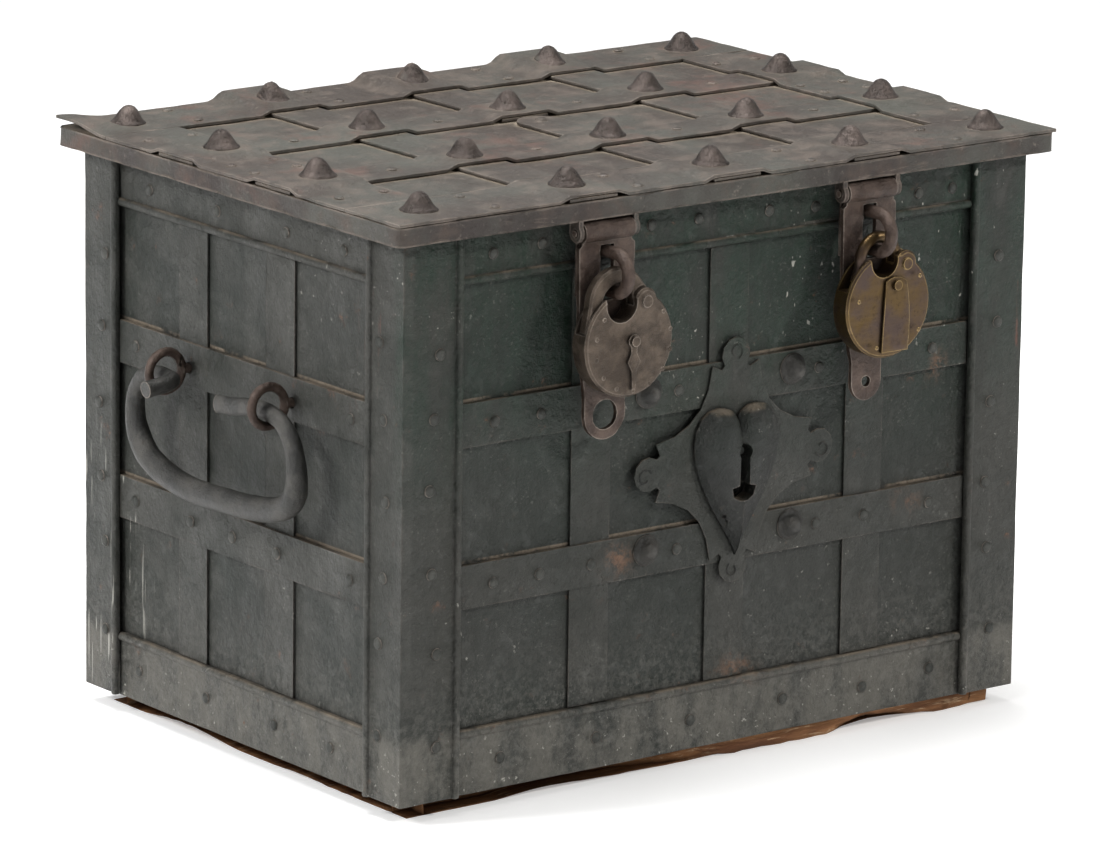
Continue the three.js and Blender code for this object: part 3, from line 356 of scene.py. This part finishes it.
def brass_metal(name):
    """Tarnished brass: olive gold where it is rubbed, lilac-grey where it is handled less, with painted shade
    in its crevices.
    """
    g = Graph(name)
    cloud = g.noise(46, 5, 0.62, offset=(3, 3, 3))
    speck = g.noise(300, 5, 0.72)
    scratch = g.noise(240, 3, 0.6, stretch=(0.15, 1, 1.6))
    color = g.mix(g.step(cloud, 0.34, 0.66), BRASS_OLIVE, BRASS_LILAC)
    color = g.mix(g.step(speck, 0.55, 0.72, 0, 0.6), color, BRASS_STAIN)
    edge = g.edges(0.0014)
    color = g.mix(g.times(edge, g.step(cloud, 0.30, 0.52), 0.8), color, BRASS_RUBBED)
    # Painted shade: darker in crevices, by ambient occlusion.
    occluded = g.crevices(0.005)
    color = g.mix(g.times(occluded, 0.75), color, BRASS_SHADE)
    return g.finish(
        color, g.step(speck, 0.3, 0.7, 0.30, 0.46), 0.85,
        [(cloud, 0.0004), (speck, 0.00018), (scratch, 0.00012)], 0.5,
    )


TIMBER_DARK = (0.110, 0.045, 0.020)
TIMBER_WARM = (0.330, 0.160, 0.070)
TIMBER_PALE = (0.620, 0.440, 0.270)
TIMBER_SHADE = (0.030, 0.016, 0.008)


def old_timber(name):
    """Dry, splintered wood with its grain along X, and painted shade in its crevices."""
    g = Graph(name)
    grain = g.noise(60, 6, 0.7, stretch=(0.12, 1.2, 1.6))
    fibre = g.noise(420, 5, 0.7, stretch=(0.06, 1, 1))
    color = g.mix(g.step(grain, 0.34, 0.62), TIMBER_DARK, TIMBER_WARM)
    color = g.mix(g.step(fibre, 0.55, 0.75), color, TIMBER_PALE)
    # Painted shade: darker in crevices, by ambient occlusion.
    color = g.mix(g.times(g.crevices(0.006), 0.6), color, TIMBER_SHADE)
    return g.finish(color, 0.85, 0.0, [(grain, 0.0018), (fibre, 0.0008)], 0.25)


MATERIALS = {
    "chest_iron": chest_paint("chest_iron", ledges=STRAP_TOPS),
    "lid_iron": lid_paint("lid_iron"),
    "fittings_iron": forged_iron("fittings_iron"),
    "lock_iron": forged_iron("lock_iron", (0.080, 0.072, 0.064), (0.170, 0.155, 0.140), 0.7),
    "padlock_iron": forged_iron(
        "padlock_iron", (0.046, 0.034, 0.025), (0.112, 0.086, 0.065), 0.7, (0.30, 0.46),
    ),
    "brass": brass_metal("brass"),
    "base_timber": old_timber("base_timber"),
}
STRAP_PAINT = chest_paint("strap_paint", (0.0115, 0.0140, 0.0105), (0.0270, 0.0270, 0.0222))
BOSS_PAINT = chest_paint("boss_paint", (0.0038, 0.0054, 0.0042), (0.0100, 0.0104, 0.0086), rust=0.3)
HANDLE_IRON = forged_iron("handle_iron", (0.022, 0.022, 0.020), (0.056, 0.053, 0.047), 0.35, (0.34, 0.50))
RIM_IRON = lid_paint("rim_iron", (0.020, 0.013, 0.010), (0.066, 0.045, 0.035), 0.6)
RIVET_IRON = forged_iron("rivet_iron", (0.016, 0.018, 0.014), (0.050, 0.050, 0.043), 0.25, (0.34, 0.50))
STUD_IRON = forged_iron("stud_iron", (0.030, 0.022, 0.018), (0.100, 0.078, 0.068), 0.6, (0.26, 0.40))

# ---------------------------------------------------------------- mesh helpers


def smooth(value, low, high):
    t = min(1.0, max(0.0, (value - low) / (high - low)))
    return t * t * (3 - 2 * t)


def mesh_object(name, bm, body, slot, material=None, sharp=35.0):
    """Turns bm into a piece that rides on body, smooth except at edges sharper than sharp degrees."""
    bm.normal_update()
    for edge in bm.edges:
        edge.smooth = len(edge.link_faces) != 2 or edge.calc_face_angle(0.0) < math.radians(sharp)
    for face in bm.faces:
        face.smooth = True
    mesh = bpy.data.meshes.new(name)
    bm.to_mesh(mesh)
    bm.free()
    mesh.materials.append(material or MATERIALS[slot])
    piece = bpy.data.objects.new(name, mesh)
    bpy.context.scene.collection.objects.link(piece)
    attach(piece, body)
    return piece


def forge(bm, amount, size, seed):
    """Small hammered unevenness, always inwards."""
    bm.normal_update()
    shift = Vector((seed * 3.1, seed * 1.7, seed * 0.9))
    moves = []
    for v in bm.verts:
        value = noise.noise(v.co / size + shift) + 0.5 * noise.noise(v.co / (size * 0.4) - shift)
        moves.append((v, v.normal * amount * (min(0.0, value) - 0.15)))
    for v, move in moves:
        v.co += move


MERGE_DISTANCE = 2e-6
FLAT_ANGLE = math.radians(1.5)  # below it, two faces of a CAD mesh are one
BEVEL_ANGLE = math.radians(28)  # above it, an edge is rounded
MOST_CUTS = 6
MOST_FACES = 60000


def refine(
    node, bevel=0.0008, cell=0.012, dent=0.0004, size=0.03, material=None, segments=2, sharp=35.0, bend=None,
):
    """A finer copy of a CAD node: rounded edges and slightly uneven faces.

    cell is the longest edge, dent and size the depth and width of its unevenness, and bend(co)
    an extra displacement.
    """
    bm = bmesh.new()
    bm.from_mesh(NODES[node].data)
    bmesh.ops.remove_doubles(bm, verts=bm.verts, dist=MERGE_DISTANCE)
    bmesh.ops.dissolve_limit(bm, angle_limit=FLAT_ANGLE, verts=bm.verts, edges=bm.edges)
    if bevel:
        edges = [e for e in bm.edges if len(e.link_faces) == 2 and e.calc_face_angle(0.0) > BEVEL_ANGLE]
        bmesh.ops.bevel(
            bm, geom=edges, offset=bevel, segments=segments, profile=0.5, affect="EDGES", clamp_overlap=True,
        )
    bmesh.ops.triangulate(bm, faces=bm.faces)
    for _ in range(MOST_CUTS):
        long = [e for e in bm.edges if e.calc_length() > cell]
        if not long or len(bm.faces) > MOST_FACES:
            break
        bmesh.ops.subdivide_edges(bm, edges=long, cuts=1)
        bmesh.ops.triangulate(bm, faces=[f for f in bm.faces if len(f.verts) > 3])
    if dent:
        forge(bm, dent, size, len(node))
    if bend:
        for v in bm.verts:
            v.co += bend(v.co)
    piece = mesh_object(node + "_detail", bm, BODY_OF[node], SLOT_OF[node], material, sharp)
    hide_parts(node)
    return piece


def join_rings(bm, loops):
    """Quads between neighbouring rings of vertices."""
    for low, high in zip(loops, loops[1:]):
        for i in range(len(low)):
            j = (i + 1) % len(low)
            bm.faces.new((low[i], low[j], high[j], high[i]))


def close_head(bm, loops, tip):
    """Closes rings of vertices into one solid, with a fan up to tip and a flat foot."""
    join_rings(bm, loops)
    last = loops[-1]
    for i in range(len(last)):
        bm.faces.new((last[i], last[(i + 1) % len(last)], tip))
    bm.faces.new(list(reversed(loops[0])))


def add_dome(bm, place, axis, radius, height, sides=12, rings=4):
    """Adds a rivet head: a slightly uneven dome standing on place."""
    turn = Vector((0, 0, 1)).rotation_difference(Vector(axis)).to_matrix()
    loops = []
    for ring in range(rings):
        angle = 0.5 * math.pi * ring / rings
        r = radius * math.cos(angle)
        h = height * math.sin(angle)
        loop = []
        for side in range(sides):
            a = 2 * math.pi * side / sides
            wobble = 1 + 0.07 * noise.noise(Vector(place) * 900 + Vector((side * 0.7, ring, 0)))
            rim = Vector((r * wobble * math.cos(a), r * wobble * math.sin(a), h))
            loop.append(bm.verts.new(Vector(place) + turn @ rim))
        loops.append(loop)
    tip = bm.verts.new(Vector(place) + turn @ Vector((0, 0, height)))
    close_head(bm, loops, tip)


# Radius and height of a stud head's rings, as shares of its full radius and height.
STUD_PROFILE = (
    (1.0, 0.0), (0.98, 0.08), (0.86, 0.17), (0.74, 0.32),
    (0.62, 0.52), (0.48, 0.73), (0.31, 0.90), (0.14, 0.98),
)


def add_stud(bm, place, axis, radius, height, sides=20):
    """Adds a pointed, hand-hammered stud head with a flared foot."""
    turn = Vector((0, 0, 1)).rotation_difference(Vector(axis)).to_matrix()
    lean = Vector((noise.noise(Vector(place) * 70), noise.noise(Vector(place) * 90), 0)) * height * 0.14
    loops = []
    for r, h in STUD_PROFILE:
        loop = []
        for side in range(sides):
            a = 2 * math.pi * side / sides
            wobble = 1 + 0.045 * noise.noise(Vector((math.cos(a), math.sin(a), h)) * 1.3 + Vector(place) * 40)
            flat = Vector((radius * r * wobble * math.cos(a), radius * r * wobble * math.sin(a), height * h))
            loop.append(bm.verts.new(Vector(place) + turn @ (flat + lean * h)))
        loops.append(loop)
    tip = bm.verts.new(Vector(place) + turn @ (Vector((0, 0, height)) + lean))
    close_head(bm, loops, tip)


def catmull(points, per_span):
    """Smooth curve through points."""
    padded = [2 * points[0] - points[1], *points, 2 * points[-1] - points[-2]]
    path = []
    for a, b, c, d in zip(padded, padded[1:], padded[2:], padded[3:]):
        for i in range(per_span):
            t = i / per_span
            square = (2 * a - 5 * b + 4 * c - d) * t**2
            cube = (3 * b - a - 3 * c + d) * t**3
            path.append(0.5 * (2 * b + (c - a) * t + square + cube))
    return [*path, points[-1]]


def tube(
    name, points, radius, body, slot, material, sides=16, seed=1, side_axis=(1, 0, 0),
    section=None, bumps=0.03,
):
    """Hand-forged round bar along points. section(point, t) gives its (width, thickness) factors."""
    bm = bmesh.new()
    across = Vector(side_axis)
    loops = []
    for k, point in enumerate(points):
        ahead = points[min(k + 1, len(points) - 1)] - points[max(k - 1, 0)]
        ahead.normalize()
        u = (across - ahead * across.dot(ahead)).normalized()
        v = ahead.cross(u)
        t = k / (len(points) - 1)
        fu, fv = section(point, t) if section else (1.0, 1.0)
        loop = []
        for i in range(sides):
            a = 2 * math.pi * i / sides
            uneven = 1 - bumps + bumps * noise.noise(point / 0.012 + Vector((a, seed, 0)))
            loop.append(bm.verts.new(point + (u * math.cos(a) * fu + v * math.sin(a) * fv) * radius * uneven))
        loops.append(loop)
    join_rings(bm, loops)
    bm.faces.new(list(reversed(loops[0])))
    bm.faces.new(loops[-1])
    return mesh_object(name, bm, body, slot, material, 50.0)


# ---------------------------------------------------------------- chest

for node in ("front_plate", "back_plate", "left_plate", "right_plate", "bottom_plate"):
    NODES[node].data.materials.clear()
    NODES[node].data.materials.append(MATERIALS["chest_iron"])
for node in ("front_lattice", "back_lattice", "left_lattice", "right_lattice"):
    refine(node, 0.0007, 0.014, 0.0005, 0.035, STRAP_PAINT)
for node in ("top_band", "bottom_band"):
    refine(node, 0.0006, 0.016, 0.0004, 0.04, STRAP_PAINT)
for y_name in ("front", "back"):
    for x_name in ("left", "right"):
        refine(f"corner_strap_{y_name}_{x_name}", 0.0012, 0.014, 0.0006, 0.05, STRAP_PAINT, 3)
refine("catch_rim", 0.0006, 0.02, 0.0003)
refine("escutcheon_plate", 0.0004, 0.006, 0.0003, 0.012, STRAP_PAINT)


BOSS_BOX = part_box("heart_boss")


def swell(co):
    """Rounds the heart's two lobes and sinks a crease between them."""
    low, high = BOSS_BOX
    middle = (low.x + high.x) / 2
    up = smooth(co.z, low.z + 0.055, high.z - 0.012)
    depth = (high.y - co.y) / (high.y - low.y)
    lobe = math.exp(-(((abs(co.x - middle) - 0.014) / 0.010) ** 2)) * up
    crease = math.exp(-(((co.x - middle) / 0.0035) ** 2)) * up
    return Vector((0, depth * (-0.0034 * lobe + 0.0030 * crease), 0))


refine("heart_boss", 0.0007, 0.0032, 0.0003, 0.010, BOSS_PAINT, 2, 70.0, swell)



def plate_curls():
    """Scroll curls standing out of the plate's four finials."""
    low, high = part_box("escutcheon_plate")
    waist = (low.z + high.z) / 2 - 0.002
    middle = 0.012
    steps = 25
    for k, (x, z, turn, size) in enumerate((
        (low.x + 0.009, waist, 0.0, 0.0062),
        (high.x - 0.009, waist, math.pi, 0.0062),
        (middle, high.z - 0.010, -math.pi / 2, 0.0058),
        (middle, low.z + 0.009, math.pi / 2, 0.0052),
    )):
        curl = []
        for i in range(steps + 1):
            a = turn + 0.5 + 5.2 * i / steps
            r = size * (1 - 0.55 * i / steps)
            curl.append(Vector((x + r * math.cos(a), low.y + 0.0002, z + r * math.sin(a))))
        tube(f"plate_curl_{k}", curl, 0.0008, "chest", "chest_iron", BOSS_PAINT, 6, k, (0, 1, 0))


plate_curls()

BAND_OUT = 0.0028  # the edge bands' face lies this far inside the corner straps' face
LATTICE_OUT = 0.0018
STRAP_Z = (0.154, 0.263)  # middles of the horizontal straps
# Radius and height of the rivet heads.
RIVET = (0.0042, 0.0021)
FOOT_RIVET = (0.0042, 0.0022)
SMALL_RIVET = (0.0040, 0.0020)


def corner_rivets(rivets):
    for side in (-1, 1):
        for k, z in enumerate((0.053, 0.116, 0.166, 0.220, 0.271, 0.318)):
            drift = 0.004 * math.sin(5.0 * k + side)
            for face in (-1, 1):
                add_dome(rivets, (side * (0.238 + drift), face * HALF_D, z + drift), (0, face, 0), *RIVET)
                add_dome(rivets, (side * HALF_W, face * (0.163 + drift), z - drift), (side, 0, 0), *RIVET)


def front_and_back_rivets(rivets):
    for face in (-1, 1):
        out = face * (HALF_D - BAND_OUT)
        for k, x in enumerate((-0.19, -0.15, -0.06, -0.02, 0.04, 0.08, 0.17, 0.20)):
            add_dome(rivets, (x, out, 0.3755 + 0.003 * math.sin(7 * k)), (0, face, 0), *SMALL_RIVET)
        for k, x in enumerate((-0.18, -0.10, -0.02, 0.06, 0.13, 0.19)):
            add_dome(rivets, (x, out, 0.0330 + 0.003 * math.sin(3 * k)), (0, face, 0), *FOOT_RIVET)
        for x in (-0.188, -0.150, -0.107, -0.035, 0.085, 0.127, 0.185):
            for z in STRAP_Z:
                add_dome(rivets, (x, face * (HALF_D - LATTICE_OUT), z), (0, face, 0), *SMALL_RIVET)


def side_rivets(rivets):
    for side in (-1, 1):
        out = side * (HALF_W - BAND_OUT)
        for y in (-0.115, -0.05, 0.03, 0.11):
            add_dome(rivets, (out, y, 0.374), (side, 0, 0), *SMALL_RIVET)
            add_dome(rivets, (out, y + 0.012, 0.034), (side, 0, 0), *SMALL_RIVET)
        for y in (-0.125, -0.042, 0.010, 0.059, 0.125):
            for z in STRAP_Z:
                behind_handle = z > 0.2 and abs(y) < 0.07
                if not behind_handle:
                    add_dome(rivets, (side * (HALF_W - LATTICE_OUT), y, z), (side, 0, 0), *RIVET)


def chest_heads():
    """Rivet heads all round the chest, and the four large studs beside the boss."""
    rivets = bmesh.new()
    corner_rivets(rivets)
    front_and_back_rivets(rivets)
    side_rivets(rivets)
    studs = bmesh.new()
    for x in (-0.061, 0.062):
        for z in (0.157, 0.265):
            add_stud(studs, (x, -HALF_D + 0.0016, z), (0, -1, 0), 0.0108, 0.0100)
    mesh_object("chest_rivets", rivets, "chest", "chest_iron", RIVET_IRON)
    mesh_object("front_studs", studs, "chest", "fittings_iron", HANDLE_IRON, 50.0)


BOARD_CELL = 0.007
BOARD_FACES = 30000


def timber_board():
    """Base board with chewed edges and a ragged underside, set back from the chest's walls."""
    low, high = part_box("base_board")
    board = bmesh.new()
    bmesh.ops.create_cube(board, size=1.0)
    for v in board.verts:
        v.co = Vector([a + (b - a) * (c + 0.5) for a, b, c in zip(low, high, v.co)])
    for _ in range(MOST_CUTS):
        if len(board.faces) < BOARD_FACES:
            long = [e for e in board.edges if e.calc_length() > BOARD_CELL]
            bmesh.ops.subdivide_edges(board, edges=long, cuts=1, use_grid_fill=True)
    for v in board.verts:
        lowness = 1 - (v.co.z - low.z) / (high.z - low.z)
        ragged = noise.noise(Vector((v.co.x * 60, v.co.y * 60, v.co.z * 200)))
        chew = max(0.0, noise.noise(Vector((v.co.x * 14, v.co.y * 14, 3.0))))
        for axis, half in ((0, high.x), (1, high.y)):
            if abs(abs(v.co[axis]) - half) < 1e-4:
                hidden = 0.020 if axis == 0 else 0.020 * smooth(-v.co.x, -0.03, 0.10)
                inset = hidden + 0.0015 + 0.0030 * abs(ragged) + 0.012 * chew * lowness
                v.co[axis] -= math.copysign(inset, v.co[axis])
        if lowness > 0.9:
            v.co.z += 0.006 * chew + 0.0008 * abs(ragged)
    timber = mesh_object("base_board_ragged", board, "chest", "base_timber")
    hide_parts("base_board")


chest_heads()
timber_board()

# Handles and their eyes.
# Points of each bar in millimetres from the middle of its pivot line: out from the chest, back, up.
HANDLE_ROUTE = (
    (0, 0, -6.5), (0, -18, -4.5), (0, -38, -1), (0, -58, 0), (0, -75, -5), (0, -85, -15),
    (0, -90, -28), (0, -91, -42), (0, -86, -55), (0, -70, -64), (0, -42, -69), (0, -10, -71),
    (0, 24, -72), (0, 54, -69), (0, 80, -60), (0, 93, -47), (0, 98, -32), (0, 96, -16),
    (0, 86, -4), (0, 72, 0), (0, 60, 0), (2.5, 50.5, 0), (11, 46.5, -1), (27, 46, -2.5),
)
PIVOT_X = 0.281
PIVOT_Z = 0.257
HANDLE_R = 0.0060


def handle_section(point, t):
    """Swelling towards the grip's middle, and a flat paddle at the front end."""
    low = smooth(PIVOT_Z - point.z, 0.0, 0.070)
    paddle = 1 - smooth(t, 0.06, 0.13)
    grow = 1 + 0.50 * low
    return grow * (1 - 0.35 * paddle), grow * (1 + 0.10 * paddle)


for name, side in (("left", -1), ("right", 1)):
    route = [
        Vector((side * (PIVOT_X + x / 1000), y / 1000, PIVOT_Z + z / 1000)) for x, y, z in HANDLE_ROUTE
    ]
    piece = tube(
        f"{name}_handle_bar", catmull(route, 5), HANDLE_R, f"{name}_handle", "fittings_iron", HANDLE_IRON,
        20, 2 + side, (side, 0, 0), handle_section, 0.05,
    )
    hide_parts(f"{name}_handle")
    for end in ("front", "back"):
        refine(f"{name}_eye_{end}", 0, 0.004, 0.0004, 0.008, MATERIALS["fittings_iron"], 2, 60.0)
for node in ("staple_base_left", "staple_base_right", "chest_hinge_left", "chest_hinge_right"):
    refine(node, 0.0005, 0.02, 0.0002, 0.01)

# ---------------------------------------------------------------- lid

refine("lid_rim", 0.0018, 0.009, 0.0016, 0.022, RIM_IRON, 3, 40.0)
refine("lid_plate", 0, 0.015, 0.0008, 0.05)


def lift_back(co):
    """The back border stands proud over each cross strap and curls up at its left end."""
    rise = 0.0
    for x in (-0.12, 0.0, 0.12):
        rise = max(rise, 1 - smooth(abs(co.x - x), 0.021, 0.034))
    outer = smooth(co.y, 0.145, 0.185)
    curl = smooth(-co.x, 0.236, 0.276) * smooth(co.y, 0.140, 0.180)
    return Vector((0, 0, 0.0036 * rise * outer + 0.0048 * curl))


for node in ("lid_border_front", "lid_border_left", "lid_border_right"):
    refine(node, 0.0011, 0.009, 0.0008, 0.03, None, 2, 38.0)
refine("lid_border_back", 0.0011, 0.007, 0.0008, 0.03, None, 2, 38.0, lift_back)
for node in (
    "lid_long_strap_front", "lid_long_strap_back", "lid_cross_strap_left", "lid_cross_strap_right",
    "lid_cross_strap_middle_front", "lid_cross_strap_middle_back", "keyhole_cover",
):
    refine(node, 0.0008, 0.010, 0.0006, 0.03, None, 2, 38.0)
for node in (
    "lid_hinge_left", "lid_hinge_right", "lock_plate", "lock_hub",
    "bolt_front", "bolt_right", "bolt_back", "bolt_left",
):
    refine(node, 0.0005, 0.03, 0.0002, 0.01)

FLAT_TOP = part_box("lid_cross_strap_left")[1].z
HUMP_TOP = FLAT_TOP + 0.0028  # where one strap runs over another
LID_STUD_R = 0.0128
LID_STUD_H = 0.0128


def lid_studs():
    """Stud heads over the CAD cones, on each crossing of the lid's straps."""
    heads = bmesh.new()
    for x in (-0.24, -0.12, 0.0, 0.12, 0.24):
        for y in (-0.168, -0.056, 0.056, 0.168):
            corner = abs(y) > 0.1 and abs(x) > 0.2
            top = FLAT_TOP if corner else HUMP_TOP
            add_stud(heads, (x, y, top - 0.0004), (0, 0, 1), LID_STUD_R, LID_STUD_H)
    return heads


def lid_nails():
    """Small flat heads along the lid's borders and straps."""
    nails = bmesh.new()
    for x in (-0.18, -0.06, 0.06, 0.18):
        for side in (-1, 1):
            for y in (0.150, 0.188):
                at = (x + 0.02 * math.sin(40 * x + y), side * y, FLAT_TOP)
                add_dome(nails, at, (0, 0, 1), 0.0036, 0.0016)
            add_dome(nails, (x, side * 0.056, FLAT_TOP), (0, 0, 1), 0.0034, 0.0014)
    for side in (-1, 1):
        for y in (-0.11, -0.015, 0.012, 0.11):
            add_dome(nails, (side * 0.262, y, FLAT_TOP), (0, 0, 1), 0.0036, 0.0016)
            add_dome(nails, (side * 0.226, -y, FLAT_TOP), (0, 0, 1), 0.0034, 0.0015)
    return nails


mesh_object("lid_stud_heads", lid_studs(), "lid", "lid_iron", STUD_IRON, 60.0)
mesh_object("lid_nails", lid_nails(), "lid", "lid_iron", RIM_IRON)

# ---------------------------------------------------------------- hasps, staples and padlocks

HASP_X = {"left": -0.109, "right": 0.114}
STAPLE_R = 0.0045  # of the staple's round bar
STAPLE_Y = -0.2085
LOCK_SLOT = {"left": "padlock_iron", "right": "brass"}
LOCK_MIDDLE = {"left": (-0.1025, 0.3105), "right": (0.118, 0.3075)}
LOCK_FACE_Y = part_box("padlock_body_left")[0].y
PIN_TURN = 25.7  # degrees between the pin places round a padlock's face


def padlock_pins(name):
    """Pin heads round a padlock's face: a full ring on the iron lock, four on the brass one."""
    pins = bmesh.new()
    x, z = LOCK_MIDDLE[name]
    ring, radius, height = (0.0312, 0.0017, 0.0008) if name == "left" else (0.0300, 0.0016, 0.0006)
    for k in range(14):
        a = math.radians(90 + PIN_TURN * k)
        by_throat = 50 < math.degrees(a) % 360 < 140
        wanted = {"left": not by_throat, "right": k in (3, 6, 9, 12)}
        if wanted[name]:
            at = (x + ring * math.cos(a), LOCK_FACE_Y + 0.0001, z + ring * math.sin(a))
            add_dome(pins, at, (0, -1, 0), radius, height)
    mesh_object(f"padlock_{name}_pins", pins, f"padlock_{name}", LOCK_SLOT[name])


def staple_bar(name, x):
    """Half ring of round bar between two straight legs."""
    low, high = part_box(f"staple_loop_{name}")
    top, bottom, back = high.z - STAPLE_R, low.z + STAPLE_R, high.y
    centre = Vector((x, STAPLE_Y, (top + bottom) / 2))
    radius = (top - bottom) / 2
    route = [Vector((x, back - t, top)) for t in (0, 0.007, 0.014)]
    for i in range(13):
        a = math.pi / 2 + math.pi * i / 12
        route.append(centre + Vector((0, radius * math.cos(a), radius * math.sin(a))))
    route += [Vector((x, back - t, bottom)) for t in (0.014, 0.007, 0)]
    loop = tube(
        f"staple_bar_{name}", catmull(route, 4), STAPLE_R, f"hasp_{name}", "fittings_iron",
        MATERIALS["fittings_iron"], 16, 5,
    )
    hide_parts(f"staple_loop_{name}")


for name, x in HASP_X.items():
    padlock_pins(name)
    refine(f"hasp_{name}", 0.0009, 0.006, 0.0007, 0.010, MATERIALS["fittings_iron"], 2, 40.0)
    metal = MATERIALS[LOCK_SLOT[name]]
    refine(f"shackle_{name}", 0.0006 if name == "left" else 0, 0.004, 0.0002, 0.010, metal, 2, 40.0)
    refine(f"padlock_body_{name}", 0.0009, 0.006, 0.0002, 0.012, metal, 3, 40.0)
    refine(f"drop_cover_{name}", 0.0003, 0.006, 0.0001, 0.010, metal, 2, 40.0)
    staple_bar(name, x)

# ---------------------------------------------------------------- floor, light and camera

floor_mesh = bpy.data.meshes.new("floor")
FLOOR = 30.0  # metres from its middle to each side
floor_mesh.from_pydata(
    [(-FLOOR, -FLOOR, 0), (FLOOR, -FLOOR, 0), (FLOOR, FLOOR, 0), (-FLOOR, FLOOR, 0)], [], [(0, 1, 2, 3)],
)
floor = bpy.data.objects.new("floor", floor_mesh)
bpy.context.scene.collection.objects.link(floor)
ground = Graph("pale_floor")
floor_mesh.materials.append(ground.finish((0.86, 0.86, 0.86, 1.0), 0.9, 0.0, (), 0.1))
ground.shader.inputs["Emission Strength"].default_value = 0.28

world = bpy.data.worlds.new("studio")
bpy.context.scene.world = world
world.use_nodes = True
world.node_tree.nodes["Background"].inputs["Color"].default_value = (1.0, 1.0, 1.0, 1.0)
world.node_tree.nodes["Background"].inputs["Strength"].default_value = 0.36
backdrop = world.node_tree.nodes.new("ShaderNodeBackground")
backdrop.inputs["Color"].default_value = (1.0, 1.0, 1.0, 1.0)
path = world.node_tree.nodes.new("ShaderNodeLightPath")
choose = world.node_tree.nodes.new("ShaderNodeMixShader")
world.node_tree.links.new(path.outputs["Is Camera Ray"], choose.inputs[0])
world.node_tree.links.new(world.node_tree.nodes["Background"].outputs[0], choose.inputs[1])
world.node_tree.links.new(backdrop.outputs[0], choose.inputs[2])
world.node_tree.links.new(choose.outputs[0], world.node_tree.nodes["World Output"].inputs[0])


def area_light(name, place, aim, size, power, tint=(1, 1, 1)):
    data = bpy.data.lights.new(name, "AREA")
    data.shape = "RECTANGLE"
    data.size, data.size_y = size
    data.energy = power
    data.color = tint
    light = bpy.data.objects.new(name, data)
    bpy.context.scene.collection.objects.link(light)
    light.location = place
    light.rotation_euler = (Vector(aim) - Vector(place)).to_track_quat("-Z", "Y").to_euler()


area_light("overhead", (-0.2, 0.3, 2.6), (0, 0, 0.3), (1.6, 1.2), 85)
area_light("front_right", (2.0, -2.6, 2.4), (0, -0.1, 0.2), (0.45, 0.45), 80, (1.0, 0.98, 0.95))
area_light("left_side", (-2.7, 0.9, 2.0), (-0.2, 0, 0.2), (0.7, 0.7), 78)

CAMERA_TURN = -0.65234  # radians, as the two below
CAMERA_DOWN = 0.24216
CAMERA_ROLL = 0.01332
camera_data = bpy.data.cameras.new("camera")
camera_data.sensor_width = 36.0
camera_data.lens = 240.774545
camera_data.clip_end = 100
camera = bpy.data.objects.new("camera", camera_data)
bpy.context.scene.collection.objects.link(camera)
camera.location = (-2.9911, -3.9119, 1.4154)
camera.rotation_euler = (
    Matrix.Rotation(CAMERA_TURN, 3, "Z")
    @ Matrix.Rotation(math.pi / 2 - CAMERA_DOWN, 3, "X")
    @ Matrix.Rotation(CAMERA_ROLL, 3, "Z")
).to_euler()
bpy.context.scene.camera = camera
bpy.context.scene.view_settings.view_transform = "Standard"
